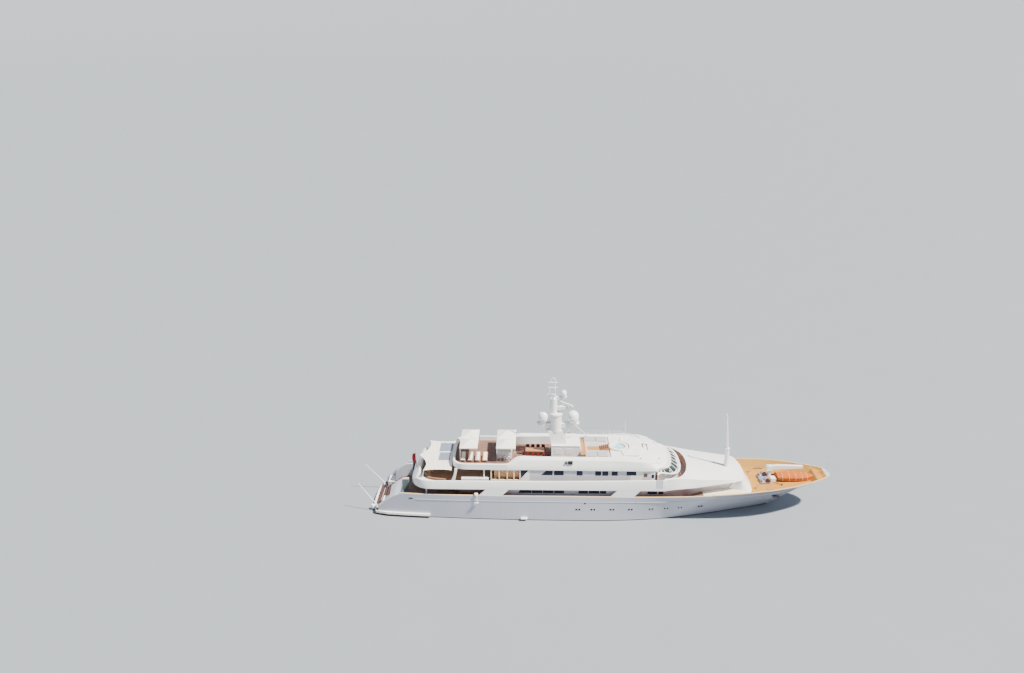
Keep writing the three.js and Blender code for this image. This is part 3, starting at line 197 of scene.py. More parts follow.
# Meshes
class Shape:
    """Points and faces gathered in full-size metres, then made into one piece."""

    def __init__(self):
        self.points, self.faces = [], []

    def put(self, points, faces):
        base = len(self.points)
        self.points += [tuple(p) for p in points]
        self.faces += [tuple(base + i for i in face) for face in faces]
        return self

    def loft(self, rings, closed=True, caps=True, loop=False):
        n, m = len(rings[0]), len(rings)
        faces = []
        for s in range(m if loop else m - 1):
            for i in range(n if closed else n - 1):
                j, t = (i + 1) % n, (s + 1) % m
                faces.append((s * n + i, s * n + j, t * n + j, t * n + i))
        if caps and closed and not loop:
            faces += [tuple(range(n)), tuple((m - 1) * n + i for i in range(n))]
        return self.put([p for ring in rings for p in ring], faces)

    def prism(self, plan, z0, z1):
        return self.loft([[(p[0], p[1], z) for p in plan] for z in (z0, z1)])

    def box(self, x0, x1, y0, y1, z0, z1):
        return self.prism([(x0, y0), (x1, y0), (x1, y1), (x0, y1)], z0, z1)

    def across(self, profile, y0, y1):
        return self.loft([[(x, y, z) for x, z in profile] for y in (y0, y1)])

    def tube(self, path, radius, sides=8):
        """A round bar along a path; the radius is a number, or one for each point."""
        path = [Vector(p) for p in path]
        radii = radius if isinstance(radius, list) else [radius] * len(path)
        rings, across = [], None
        for i, at in enumerate(path):
            way = (path[min(i + 1, len(path) - 1)] - path[max(i - 1, 0)]).normalized()
            across = way.orthogonal().normalized() if across is None else across
            across = (across - way * across.dot(way)).normalized()
            other = way.cross(across)
            rings.append([at + (across * cos(a) + other * sin(a)) * radii[i] for a in turn(sides)])
        return self.loft(rings)

    def turned(self, profile, at, axis=(0, 0, 1), sides=24):
        """Profile rows are (radius, height along the axis)."""
        way = Vector(axis).normalized()
        a = way.orthogonal().normalized()
        b = way.cross(a)
        around = [a * cos(t) + b * sin(t) for t in turn(sides)]
        return self.loft([[Vector(at) + way * h + out * max(r, 1e-4) for out in around] for r, h in profile])

    def hoop(self, x, z, reach, r, high, sides, around=56):
        """A closed ring round an upright axis at x; its section is r wide and high tall, at a reach out."""
        section = [(reach + r * cos(t), z + high * sin(t)) for t in turn(sides)]
        return self.loft([[(x + out * cos(a), out * sin(a), up) for out, up in section]
                          for a in turn(around)], loop=True, caps=False)

    def sheet(self, points, off):
        """A thin closed sheet: a grid of points, and the same grid moved by off."""
        n, m = len(points), len(points[0])
        face = [Vector(p) for row in points for p in row]
        faces = []
        for i in range(n - 1):
            for a in range(i * m, i * m + m - 1):
                faces.append((a, a + 1, a + m + 1, a + m))
                faces.append(tuple(n * m + k for k in (a, a + m, a + m + 1, a + 1)))
        rim = (list(range(m)) + [i * m + m - 1 for i in range(1, n)]
               + [(n - 1) * m + j for j in range(m - 2, -1, -1)] + [i * m for i in range(n - 2, 0, -1)])
        faces += [(b, a, n * m + a, n * m + b) for a, b in zip(rim, rim[1:] + rim[:1])]
        return self.put(face + [p + Vector(off) for p in face], faces)

    def mirror(self):
        """Adds the other side of everything so far."""
        n = len(self.points)
        self.points += [(x, -y, z) for x, y, z in self.points]
        self.faces += [tuple(n + i for i in reversed(face)) for face in self.faces]
        return self

    def mesh(self, name):
        mesh = bpy.data.meshes.new(name)
        mesh.from_pydata([(x * K, y * K, z * K) for x, y, z in self.points], [], self.faces)
        work = bmesh.new()
        work.from_mesh(mesh)
        bmesh.ops.remove_doubles(work, verts=work.verts, dist=1e-5)
        bmesh.ops.recalc_face_normals(work, faces=work.faces)
        work.to_mesh(mesh)
        work.free()
        return mesh

    def done(self, name, look, body=ROOT, slot=None, angle=35, bevel=0.0, replaces=()):
        piece = linked(name, self.mesh(name))
        smooth(piece, angle)
        piece.data.materials.append(LOOKS[look])
        if bevel:
            rounding = piece.modifiers.new("rounding", "BEVEL")
            rounding.width, rounding.segments, rounding.limit_method = bevel * K, 2, "ANGLE"
            rounding.angle_limit = radians(40)
        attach(piece, body)
        if replaces:
            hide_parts(*replaces)
        return piece


def smooth(piece, angle):
    piece.data.shade_smooth()
    piece.data.set_sharp_from_angle(angle=radians(angle))


def bake(piece):
    """Puts what the modifiers make into the mesh itself."""
    bpy.context.view_layer.update()
    result = bpy.data.meshes.new_from_object(piece.evaluated_get(bpy.context.evaluated_depsgraph_get()))
    piece.modifiers.clear()
    piece.data = result


def carve(piece, cutter, angle):
    """Cuts a closed shape out of a piece and leaves plain mesh."""
    tool = linked("cutter", cutter.mesh("cutter"))
    cut = piece.modifiers.new("cut", "BOOLEAN")
    cut.operation, cut.solver, cut.object = "DIFFERENCE", "EXACT", tool
    bake(piece)
    bpy.data.objects.remove(tool)
    smooth(piece, angle)


# Materials
class Look:
    """One procedural material: a principled shader and the nodes that feed it."""

    def __init__(self, name, rough=0.5, metal=0.0, **shader):
        self.material = bpy.data.materials.new(name)
        self.material.use_nodes = True
        self.tree = self.material.node_tree
        self.tree.nodes.clear()
        self.shader = self.add("BsdfPrincipled", Roughness=rough, Metallic=metal, **shader)
        self.add("OutputMaterial", Surface=self.shader.outputs[0])
        self.place = self.add("TexCoord").outputs["Object"]

    def add(self, kind, settings=(), **inputs):
        node = self.tree.nodes.new("ShaderNode" + kind)
        for key, value in dict(settings).items():
            setattr(node, key, value)
        for key, value in inputs.items():
            self.feed(node.inputs[key.replace("_", " ")], value)
        return node

    def feed(self, socket, value):
        if isinstance(value, bpy.types.NodeSocket):
            self.tree.links.new(value, socket)
        else:
            socket.default_value = (*value, 1.0) if socket.type == "RGBA" else value

    def math(self, operation, a, b=0.0, clamped=False):
        node = self.add("Math", {"operation": operation, "use_clamp": clamped})
        self.feed(node.inputs[0], a)
        self.feed(node.inputs[1], b)
        return node.outputs[0]

    def times(self, a, b):
        return self.math("MULTIPLY", a, b)

    def off_middle(self, value):
        """How far a running number is from the middle of its step, from 0 to a half."""
        return self.math("ABSOLUTE", self.math("SUBTRACT", self.math("FRACT", value), 0.5))

    def dice(self, value):
        """A fixed random number for every whole number."""
        return self.add("TexWhiteNoise", {"noise_dimensions": "1D"}, W=value).outputs[0]

    def noise(self, scale, stretch=None, detail=3.0, rough=0.5):
        where = self.add("Mapping", Vector=self.place, Scale=stretch).outputs[0] if stretch else self.place
        return self.add("TexNoise", Vector=where, Scale=scale, Detail=detail, Roughness=rough).outputs[0]

    def blend(self, amount, a, b, how="MIX"):
        node = self.add("Mix", {"data_type": "RGBA", "blend_type": how})
        for socket, value in zip((0, 6, 7), (amount, a, b)):
            self.feed(node.inputs[socket], value)
        return node.outputs[2]

    def band(self, value, low, high, out_low=0.0, out_high=1.0):
        return self.add("MapRange", Value=value, From_Min=low, From_Max=high, To_Min=out_low,
                        To_Max=out_high).outputs[0]

    def weathered(self, colour, scales, heights, worn):
        """A colour that is duller in streaks which run down the sides."""
        patch = self.band(self.noise(scales[0], (1.0, 1.0, heights[0]), 4.0), 0.35, 0.75)
        run = self.band(self.noise(scales[1], (1.0, 1.0, heights[1])), 0.35, 0.8)
        return self.blend(self.math("MULTIPLY", patch, run, True), colour, dim(colour, worn))

    def axis(self, which):
        return self.add("SeparateXYZ", Vector=self.place).outputs[which]

    def bump(self, height, distance, strength=1.0, under=None):
        node = self.add("Bump", Height=height, Distance=distance, Strength=strength)
        if under:
            self.feed(node.inputs["Normal"], under)
        return node.outputs[0]

    def finish(self, colour, normal, rough=None):
        self.feed(self.shader.inputs["Base Color"], colour)
        self.feed(self.shader.inputs["Normal"], normal)
        if rough:
            self.feed(self.shader.inputs["Roughness"], rough)
        return self.material


def dim(colour, by):
    return tuple(c * by for c in colour)


def paint(name, colour, rough=0.22):
    """Sprayed yacht enamel: faint waves in the fairing, light weathering down the sides."""
    look = Look(name, rough, Coat_Weight=0.4, Coat_Roughness=0.08)
    waves = look.bump(look.noise(0.9, detail=1.0), 0.004, 0.5)
    return look.finish(look.weathered(colour, (1.3, 9.0), (0.35, 0.06), 0.93),
                       look.bump(look.noise(160.0, detail=1.0), 0.0004, 0.3, waves),
                       look.band(look.noise(6.0), 0.3, 0.7, rough * 0.8, rough * 1.3))


def hull_paint(name, colour, boot_and_shade, bottom, line=0.065):
    """Topsides over a dark band, whose upper edge is the line, and antifouling below the water; on the hull
    the band is the boot stripe, on the swim platform's ledge it is painted shade of the space under the
    platform.
    """
    look = Look(name, 0.24, Coat_Weight=0.4, Coat_Roughness=0.08)
    height = look.axis("Z")
    side = look.weathered(colour, (0.8, 7.0), (0.25, 0.04), 0.9)
    side = look.blend(look.band(height, line - 0.005, line + 0.005, 1.0, 0.0), side, boot_and_shade)
    fouling = look.blend(look.noise(3.0), bottom, dim(bottom, 0.6))
    waves = look.bump(look.noise(0.6, (1.0, 1.0, 0.6), 1.0), 0.006, 0.5)
    return look.finish(look.blend(look.band(height, -0.06, -0.05, 1.0, 0.0), side, fouling),
                       look.bump(look.noise(140.0, detail=1.0), 0.0004, 0.3, waves),
                       look.band(height, -0.06, 0.07, 0.6, 0.2))


def teak(name, light, dark, along=0):
    """Laid planks with black seams, butts, grain, and a shade of their own for each plank."""
    plank, board_length, seam = 0.05, 1.6, (0.035, 0.03, 0.028)
    look = Look(name, 0.62)
    course = look.math("DIVIDE", look.axis(1 - along), plank)
    row = look.math("FLOOR", course)
    length = look.math("DIVIDE", look.axis(along), board_length)
    length = look.math("ADD", length, look.times(look.dice(row), 7.0))
    shade = look.dice(look.math("ADD", look.times(row, 13.7), look.math("FLOOR", length)))
    grain = look.noise(26.0, (1, 0.06, 1) if along else (0.06, 1, 1), 5.0, 0.6)
    wood = look.blend(look.band(grain, 0.3, 0.7), light, dark)
    wood = look.blend(look.times(shade, 0.45), wood, dark)
    wood = look.blend(look.band(look.noise(1.1, detail=4.0), 0.45, 0.75, 0.0, 0.35), wood, dim(light, 1.15))
    gap = look.math("MAXIMUM", look.band(look.off_middle(course), 0.44, 0.47),
                    look.band(look.off_middle(length), 0.496, 0.498))
    height = look.math("SUBTRACT", look.times(grain, 0.25), gap)
    return look.finish(look.blend(gap, wood, seam), look.bump(height, 0.002, 0.5),
                       look.band(grain, 0.3, 0.7, 0.55, 0.75))


def varnished(name, light, dark, rough=0.2):
    look = Look(name, rough, Coat_Weight=0.6, Coat_Roughness=0.06)
    grain = look.noise(14.0, (0.12, 1, 1), 6.0, 0.6)
    return look.finish(look.blend(look.band(grain, 0.3, 0.7), light, dark), look.bump(grain, 0.0008, 0.3))


def metal(name, colour, rough=0.18):
    look = Look(name, rough, 1.0)
    lines = look.noise(60.0, (0.08, 1, 1), 4.0)
    return look.finish(look.blend(look.band(look.noise(5.0), 0.4, 0.8), colour, dim(colour, 0.82)),
                       look.bump(lines, 0.0005, 0.2), look.band(lines, 0.3, 0.7, rough - 0.05, rough + 0.1))


def glazing(name, colour, rough=0.06):
    look = Look(name, rough, IOR=1.35, Specular_IOR_Level=0.3)
    haze = look.band(look.noise(0.7, detail=2.0), 0.35, 0.7)
    return look.finish(look.blend(haze, colour, dim(colour, 1.7)),
                       look.bump(look.noise(1.2, detail=1.0), 0.003, 0.3))


def cloth(name, colour, thread=0.012, rough=0.85, sheen=0.25, seams=0.0, along=0):
    """Woven canvas: two crossed waves of thread, faded in patches, with sewn seams at an even spacing."""
    look = Look(name, rough, Sheen_Weight=sheen, Sheen_Roughness=0.5)
    warp, weft = (look.add("TexWave", {"bands_direction": axis}, Vector=look.place, Scale=1 / thread / 20,
                           Distortion=0.4, Detail=1.0).outputs["Fac"] for axis in "XY")
    shade = look.blend(look.band(look.noise(2.2, detail=4.0), 0.4, 0.75), colour, dim(colour, 0.9))
    under = look.bump(look.noise(3.0), 0.01, 0.4)
    if seams:
        sewn = look.band(look.off_middle(look.math("DIVIDE", look.axis(along), seams)), 0.485, 0.495)
        shade = look.blend(look.times(sewn, 0.5), shade, dim(colour, 0.6))
        under = look.bump(sewn, 0.004, 0.6, under)
    return look.finish(shade, look.bump(look.times(warp, weft), 0.0015, 0.4, under))


def wall_painted_shade(name, stops):
    """Walls with painted shade: the shade that the decks above cast on them is painted into a tint that
    follows (x, colour) stops along the boat.
    """
    look = Look(name, 0.5, Coat_Weight=0.15, Coat_Roughness=0.2)
    along, shade = look.axis(0), stops[0][1]
    for (x0, _), (x1, colour) in zip(stops, stops[1:]):
        shade = look.blend(look.band(along, x0 * K, x1 * K), shade, colour)
    grime = look.band(look.noise(2.0, (1.0, 1.0, 0.3), 4.0), 0.4, 0.8)
    return look.finish(look.blend(1.0, shade, look.blend(grime, (1, 1, 1), (0.86, 0.85, 0.84)), "MULTIPLY"),
                       look.bump(look.noise(30.0, detail=1.0), 0.0006, 0.3))


def plastic(name, colour, rough=0.35):
    look = Look(name, rough)
    dust = look.noise(4.0, detail=4.0)
    return look.finish(look.blend(look.band(dust, 0.4, 0.8), colour, dim(colour, 0.9)),
                       look.bump(look.noise(220.0, detail=2.0), 0.0005, 0.3),
                       look.band(dust, 0.3, 0.8, rough, rough * 1.4))


def tub_water(name, deep, pale):
    look = Look(name, 0.04, Coat_Weight=0.6, Coat_Roughness=0.02)
    ripple = look.noise(5.0, detail=2.0)
    return look.finish(look.blend(look.band(ripple, 0.35, 0.65), deep, pale), look.bump(ripple, 0.01, 0.6))


HOUSE_WHITE, BOOT_AND_SHADE, RECESS_PAINTED_SHADE = (0.83, 0.83, 0.81), (0.03, 0.008, 0.01), (0.10, 0.055, 0.06)
LOOKS = {
    "hull": hull_paint("hull_paint", (0.46, 0.47, 0.53), BOOT_AND_SHADE, (0.09, 0.02, 0.02)),
    "white": paint("house_paint", HOUSE_WHITE),
    # The swim platform's side is dark below its line: painted shade standing for the shadow under a thinner
    # platform.
    "ledge": hull_paint("ledge_paint_and_shade", HOUSE_WHITE, BOOT_AND_SHADE, (0.03, 0.01, 0.012), 0.19),
    "cream": paint("cream_paint", (0.78, 0.72, 0.60)),
    "grey": paint("grey_paint", (0.50, 0.51, 0.55), 0.35),
    "gate": paint("gate_paint", (0.60, 0.60, 0.63), 0.3),
    "mast": paint("mast_paint", (0.82, 0.82, 0.80)),
    # Painted shade: the main deckhouse's walls are tinted darker where the decks above shade them, darkest at
    # the open aft deck.
    "shade": wall_painted_shade("recess_painted_shade", [(-22, RECESS_PAINTED_SHADE), (-18, RECESS_PAINTED_SHADE), (-13, (0.50, 0.46, 0.50)),
                                         (4, (0.58, 0.55, 0.59)), (7, (0.42, 0.28, 0.25)),
                                         (12, (0.40, 0.27, 0.24))]),
    # Painted shade under the fore house's eave: the coach side is darkest at its aft end and lighter forward.
    "coach_wall": wall_painted_shade("coach_wall_painted_shade", [(12.6, (0.34, 0.22, 0.20)), (14, (0.60, 0.50, 0.48)),
                                                  (20, (0.78, 0.74, 0.74))]),
    "teak": teak("teak_weathered", (0.22, 0.120, 0.082), (0.155, 0.080, 0.055)),
    "gold": teak("teak_golden", (0.56, 0.27, 0.035), (0.42, 0.18, 0.02)),
    "brown": teak("teak_brown", (0.085, 0.038, 0.030), (0.050, 0.022, 0.018), 1),
    # Painted light: a lighter copy of the teak for the upper deck, which lies in the awning's shade.
    "teak_lit_copy": teak("teak_painted_light", (0.50, 0.30, 0.17), (0.36, 0.21, 0.12)),
    "rail": varnished("cap_rail", (0.60, 0.32, 0.06), (0.46, 0.23, 0.035), 0.3),
    # Golden varnished rail wood made paler: partly painted highlight, for the varnish's shine along the near
    # rail.
    "rail_painted_highlight": varnished("toe_rail_wood_painted_highlight", (0.66, 0.43, 0.20), (0.55, 0.33, 0.14), 0.35),
    "mahogany": varnished("mahogany", (0.17, 0.035, 0.02), (0.08, 0.015, 0.01)),
    "honey": varnished("honey_wood", (0.55, 0.24, 0.07), (0.38, 0.15, 0.04)),
    "dark_red": varnished("chair_wood", (0.22, 0.03, 0.02), (0.11, 0.012, 0.01)),
    # Painted light: the winter garden's wood is made brighter than it is, to stand for light in the shaded
    # room.
    "garden": varnished("garden_wood_painted_light", (0.90, 0.50, 0.24), (0.70, 0.36, 0.16), 0.4),
    "step_wood": varnished("step_wood", (0.50, 0.24, 0.055), (0.38, 0.17, 0.035), 0.3),
    # Painted shade: dark brown wood for the open doorways, darkened to stand for the shade of the rooms
    # behind them.
    "inside": varnished("doorway_wood_painted_shade", (0.10, 0.05, 0.03), (0.05, 0.02, 0.015), 0.5),
    "lining": varnished("bulwark_wood", (0.44, 0.225, 0.03), (0.34, 0.165, 0.02), 0.4),
    "walk": varnished("walk_wood", (0.34, 0.17, 0.11), (0.24, 0.12, 0.08), 0.5),
    "steel": metal("stainless_steel", (0.78, 0.79, 0.81)),
    "bronze": metal("bronze", (0.55, 0.36, 0.17), 0.3),
    "chain": metal("anchor_chain", (0.13, 0.095, 0.13), 0.5),
    "glass": glazing("dark_glass", (0.012, 0.015, 0.035), 0.15),
    "bridge_glass": glazing("bridge_glass", (0.020, 0.030, 0.028), 0.05),
    "smoked": glazing("smoked_glass", (0.035, 0.032, 0.030), 0.08),
    "dome": plastic("dome_plastic", (0.84, 0.84, 0.82), 0.28),
    "counter": plastic("counter_stone", (0.82, 0.80, 0.76), 0.3),
    "bed": plastic("windlass_plate", (0.20, 0.19, 0.23), 0.6),
    "recess": plastic("recess_lining", (0.10, 0.13, 0.14), 0.6),
    "mat": plastic("deck_mat", (0.42, 0.42, 0.43), 0.7),
    "dark": plastic("dark_fitting", (0.02, 0.02, 0.022), 0.4),
    "fender": plastic("fender_vinyl", (0.80, 0.81, 0.80), 0.4),
    "canvas": cloth("awning_canvas", (0.80, 0.74, 0.66), seams=0.6, along=1),
    "mesh": cloth("shade_mesh", (0.15, 0.18, 0.25), 0.02),
    "canopy": cloth("canopy_canvas", (0.82, 0.78, 0.72), seams=0.5),
    "cushion": cloth("cushion_cloth", (0.82, 0.79, 0.73), 0.008),
    "pad": cloth("settee_cloth", (0.38, 0.365, 0.36), 0.008),
    "tan": cloth("tan_cloth", (0.66, 0.33, 0.15), 0.008),
    "orange": cloth("cover_cloth", (0.44, 0.095, 0.0), 0.01, 0.9, 0.0, seams=0.55),
    "red": cloth("flag_cloth", (0.22, 0.004, 0.020), 0.008, 0.9, 0.0),
    "water": tub_water("tub_water", (0.24, 0.58, 0.68), (0.40, 0.72, 0.80)),
}


# Hull
# x, half-breadth at the sheer, half-breadth at the waterline, height of the sheer, height of the keel or
# stem, fullness of the bilge, and flare of the topsides, as in the part's source
HULL = [
    (-33.9, 4.85, 4.55, 4.1, -0.30, 3.2, 1.0), (-32.5, 5.08, 4.72, 4.1, -0.50, 3.2, 1.0),
    (-30.5, 5.30, 4.92, 4.1, -0.78, 3.2, 1.0), (-28.0, 5.52, 5.12, 4.1, -1.10, 3.2, 1.0),
    (-24.0, 5.72, 5.35, 4.1, -1.80, 3.2, 1.0), (-19.0, 5.84, 5.60, 4.1, -2.70, 3.2, 1.0),
    (-13.0, 5.90, 5.78, 4.1, -3.50, 3.2, 1.0), (-6.0, 5.90, 5.85, 4.1, -3.80, 3.0, 1.0),
    (0.0, 5.90, 5.80, 4.1, -3.80, 2.8, 1.0), (6.0, 5.90, 5.35, 4.1, -3.80, 2.5, 1.0),
    (11.0, 5.90, 4.50, 4.20, -3.80, 2.2, 1.1), (15.0, 5.90, 3.45, 4.37, -3.80, 2.0, 1.1),
    (18.5, 5.88, 2.45, 4.60, -3.72, 1.8, 1.15), (21.5, 5.75, 1.48, 4.83, -3.55, 1.6, 1.2),
    (23.6, 5.50, 0.80, 4.97, -3.20, 1.5, 1.2), (24.9, 5.30, 0.35, 5.04, -1.90, 1.4, 1.2),
    (25.5, 5.20, 0.14, 5.07, -0.30, 1.2, 1.15), (27.0, 4.83, 0, 5.14, 0.81, 1, 0.95),
    (29.0, 4.20, 0, 5.22, 1.97, 1, 0.85), (31.0, 3.35, 0, 5.31, 3.12, 1, 0.75),
    (32.5, 2.66, 0, 5.39, 3.98, 1, 0.65), (33.7, 1.95, 0, 5.45, 4.62, 1, 0.55),
    (34.5, 1.30, 0, 5.47, 4.98, 1, 0.5), (34.9, 0.70, 0, 5.48, 5.12, 1, 0.5),
]
sheer_half, water_half, sheer_z, keel_z, bilge, flare = columns(HULL)
STERN_X, BOW_X, KEEL_HALF, STEM_FOOT = -33.9, 34.9, 0.12, -0.2
STAIR_TOP_X, STAIR_FOOT_X, STAIR_HALF, STEPS = -31.0, -33.6, 2.2, 6
GOING, RISE = (STAIR_TOP_X - STAIR_FOOT_X) / (STEPS - 1), (MAIN_DECK - PLATFORM_TOP) / STEPS
WELL_AFT, WELL_FORE, WELL_DEPTH, BOW_DECK_END = 21.25, 32.75, 0.95, 34.2
RAMP_AFT, RAMP_LENGTH, TOE_HEIGHT = 9, 7, 0.28
SHOULDER_HALF, SHOULDER_CROWN = 5.2, 0.1
# Stern shoulders: their heights beside the stair and at the hull's side, a landing and a mooring recess
shoulder_in = straight([(-34.5, 1.2), (-33.9, 1.55), (-33.35, 2.3), (-32.1, 3.7), (-31.3, 4.4), (-30.4, 5.0),
                        (-29.9, 5.1)])
shoulder_out = straight([(-34.5, 0.95), (-33.9, 1.5), (-33.35, 1.88), (-32.1, 3.05), (-31.3, 3.6),
                         (-30.4, 3.95), (-29.9, 4.18)])
LANDING_AFT, LANDING_FORE, LANDING_OUT, LANDING_Z = -33.4, -32.1, 4.35, 1.9
RECESS_AFT, RECESS_FORE, RECESS_IN = -30.4, -29.4, 2.65
ANCHOR_POCKET = [(25.75, 2.62), (26.3, 2.5), (27.0, 2.95), (27.25, 3.35), (26.9, 3.42), (26.2, 3.1),
                 (25.8, 2.95)]


def hull_half(x, z):
    top, foot = sheer_z(x), keel_z(x)
    if foot >= STEM_FOOT:
        up = max((z - foot) / (top - foot), 0)
        return max(KEEL_HALF, sheer_half(x) * up ** flare(x))
    water = water_half(x)
    if z >= 0:
        return water + (sheer_half(x) - water) * min(z / top, 1) ** flare(x)
    down = min(z / foot, 1)
    return max(KEEL_HALF, water * (1 - down ** bilge(x)) ** (1 / bilge(x)))


def deck_z(x):
    if WELL_AFT < x < WELL_FORE:
        return sheer_z(x) - WELL_DEPTH
    t = clamp((x - RAMP_AFT) / RAMP_LENGTH)
    return MAIN_DECK + (sheer_z(x) - TOE_HEIGHT - MAIN_DECK) * t * t * (3 - 2 * t)


def shoulder_z(x, y):
    t = (y - STAIR_HALF) / (SHOULDER_HALF - STAIR_HALF)
    return shoulder_in(x) + (shoulder_out(x) - shoulder_in(x)) * t + SHOULDER_CROWN * sin(pi * clamp(t))


def side_top(x):
    """Height of the hull's side: the sheer, or the outer edge of the stern shoulder."""
    return min(sheer_z(x), shoulder_out(x)) if x < RECESS_AFT else sheer_z(x)


def stair_z(x):
    step = floor((x - STAIR_FOOT_X) / GOING) + 1
    return min(PLATFORM_TOP + RISE * max(step, 0), MAIN_DECK)


def inner_line(x):
    """Points (y, z) from the inside of the hull's side to the centreline, seven at every station."""
    half, top = hull_half(x, side_top(x)), side_top(x)
    if x < RECESS_AFT:
        foot, edge, level = stair_z(x), STAIR_HALF, shoulder_z(x, STAIR_HALF)
        if x < LANDING_FORE:
            edge, level = LANDING_OUT, LANDING_Z if x > LANDING_AFT else PLATFORM_TOP
        line = [(y, shoulder_z(x, y)) for y in (half + (edge - half) * t for t in (0.2, 0.6, 1.0))]
        return line + [(edge, level), (STAIR_HALF, level), (STAIR_HALF, foot), (0, foot)]
    if x > BOW_DECK_END:
        return [(0.3, top)] * 6 + [(0, top)]
    level = deck_z(x)
    high, low = half - PLATE, hull_half(x, level) - PLATE
    wall = shoulder_in(x) if x < RECESS_FORE else level
    return [(high, top), (low, level), (min(RECESS_IN, low), level), (min(RECESS_IN, low), wall),
            (min(STAIR_HALF, low), wall), (min(STAIR_HALF, low), level), (0, level)]


def hull_ring(x, below=10, above=12, edge=0.03):
    top, foot = side_top(x), keel_z(x)
    if foot < STEM_FOOT:
        levels = [foot * cos(i / below * pi / 2) ** 1.2 for i in range(below)]
        levels += [top * i / above for i in range(above + 1)]
    else:
        levels = [foot + (top - foot) * i / (below + above) for i in range(below + above + 1)]
    port = [(x, hull_half(x, z), z) for z in levels[:-1]]
    half = hull_half(x, levels[-1])
    port += [(x, half, top - edge), (x, half - edge, top)] + [(x, y, z) for y, z in inner_line(x)]
    return whole(port, 0)


def hull_stations():
    """Places of the hull's sections, with a pair of them wherever its inside jumps."""
    jumps = [STAIR_FOOT_X + i * GOING for i in range(STEPS)]
    jumps += [LANDING_AFT, LANDING_FORE, RECESS_AFT, RECESS_FORE, WELL_AFT, WELL_FORE, BOW_DECK_END]
    plain = span(STERN_X, BOW_X, 0.35) + [-33.35, -31.3, -29.9]
    return sorted([x for x in plain if all(abs(x - j) > 0.01 for j in jumps)]
                  + [j + e for j in jumps for e in (-0.001, 0.001)])


def make_hull():
    shape = Shape().loft([hull_ring(x) for x in hull_stations()])
    # The bulb, and the skeg
    shape.loft([[(24.6 + 4.1 * cos(u), 0.85 * sin(u) * cos(v), -2.55 + sin(u) * sin(v)) for v in turn(24)]
                for u in (0.001 + (pi - 0.002) * i / 20 for i in range(21))])
    shape.across([(-25.5, -1.2), (-14, -3.0), (-11, -3.7), (-24.5, -3.35)], -0.14, 0.14)
    # On each side the shaft with its bearing and struts, the rudder's trunk and the fin's boss
    for side, _ in SIDES:
        y = side * 2.3
        shape.tube([(-26.7, y, -2.5), (-19, y * 0.82, -1.5)], 0.11, 16)
        shape.tube([(-26.55, y, -2.5), (-25.75, y, -2.4)], [0.19, 0.17], 16)
        for spread in (-0.55, 0.55):
            shape.tube([(-26.15, y, -2.4), (-26.15, y + spread, -0.7)], [0.09, 0.12])
        shape.tube([(-28.75, y, -1.03), (-28.75, y, -0.4)], 0.17, 16)
        shape.tube([(-1.2, side * 4.86, -2.92), (-1.2, side * 4.2, -2.17)], 0.15, 16)
    # The jack staff at the stem
    shape.tube([(34.5, 0, 4.9), (34.75, 0, 7.2)], [0.045, 0.03], 10)
    shape.turned([(0, 0), (0.07, 0.02), (0.07, 0.09), (0, 0.12)], (34.75, 0, 7.2), sides=12)
    shape.done("hull_shell", "hull", slot="hull_paint", angle=30,
               replaces=("hull", "stern_shoulder_starboard", "stern_shoulder_port"))


def level_strip(x, y, z0, z1):
    """A section across the boat, with its corners at the same distance on both sides."""
    return [(x, -y, z0), (x, y, z0), (x, y, z1), (x, -y, z1)]


def deck_sheet(name, x0, x1, look, inset=0.03, half=None):
    """A thin laid deck that follows the hull's own deck from side to side."""
    half = half or (lambda x: hull_half(x, deck_z(x)) - PLATE - inset)
    Shape().loft([level_strip(x, half(x), deck_z(x) + FILM, deck_z(x) + LIFT)
                  for x in span(x0, x1, 0.5)]).done(name, look)


def plan_sheet(name, plan, z, look):
    return Shape().prism(plan, z + FILM, z + LIFT).done(name, look)


def main_decks():
    joint = 0.02
    deck_sheet("teak_main_deck", RECESS_FORE + joint, 15.0, "teak")
    deck_sheet("cream_side_deck", 15.0, WELL_AFT - joint, "cream")
    deck_sheet("teak_foredeck", WELL_AFT + joint, WELL_FORE - joint, "gold")
    deck_sheet("teak_bow_deck", WELL_FORE + joint, BOW_DECK_END - joint, "gold", inset=0.05)
    deck_sheet("teak_stern_passage", STAIR_TOP_X + joint, RECESS_FORE, "teak",
               half=lambda x: STAIR_HALF - 0.03)
    recesses, back = Shape(), RECESS_AFT + 0.02
    recesses.prism([(back, RECESS_IN + 0.02), (RECESS_FORE, RECESS_IN + 0.02), (RECESS_FORE, 5.0),
                    (back, 4.93)], MAIN_DECK + FILM, MAIN_DECK + 0.015)
    for y0, y1, z1 in ((RECESS_IN + 0.005, RECESS_IN + 0.02, 4.95), (4.96, 4.975, 4.0)):
        recesses.box(back - 0.01, RECESS_FORE, y0, y1, MAIN_DECK, z1)
    recesses.box(back - 0.016, back, RECESS_IN, 4.95, MAIN_DECK, 4.0)
    recesses.mirror().done("mooring_recess_lining", "recess")
    treads, half, nose = Shape(), STAIR_HALF - 0.08, 0.03
    for i in range(STEPS):
        x, z = STAIR_FOOT_X + i * GOING, PLATFORM_TOP + (i + 1) * RISE
        if i < STEPS - 1:
            treads.box(x - nose, x + GOING - 0.02, -half, half, z + FILM, z + 0.03)
        treads.box(x - nose, x - 0.004, -half, half, z - RISE + 0.04, z)
    treads.done("stair_treads", "brown", bevel=0.01)


def rail_along(points, width, thick, look, name, **extra):
    """A flat capping rail that follows a line of (x, y, z) points; width lies across the line."""
    rings = []
    for i, at in enumerate(points):
        way = Vector(points[min(i + 1, len(points) - 1)]) - Vector(points[max(i - 1, 0)])
        out = Vector((way.y, -way.x, 0)).normalized() * width / 2
        rings.append([Vector(at) + out * part + Vector((0, 0, thick * up)) for part, up in
                      ((-1, 0), (-1, 0.7), (-0.8, 1), (0.8, 1), (1, 0.7), (1, 0))])
    return Shape().loft(rings).done(name, look, **extra)


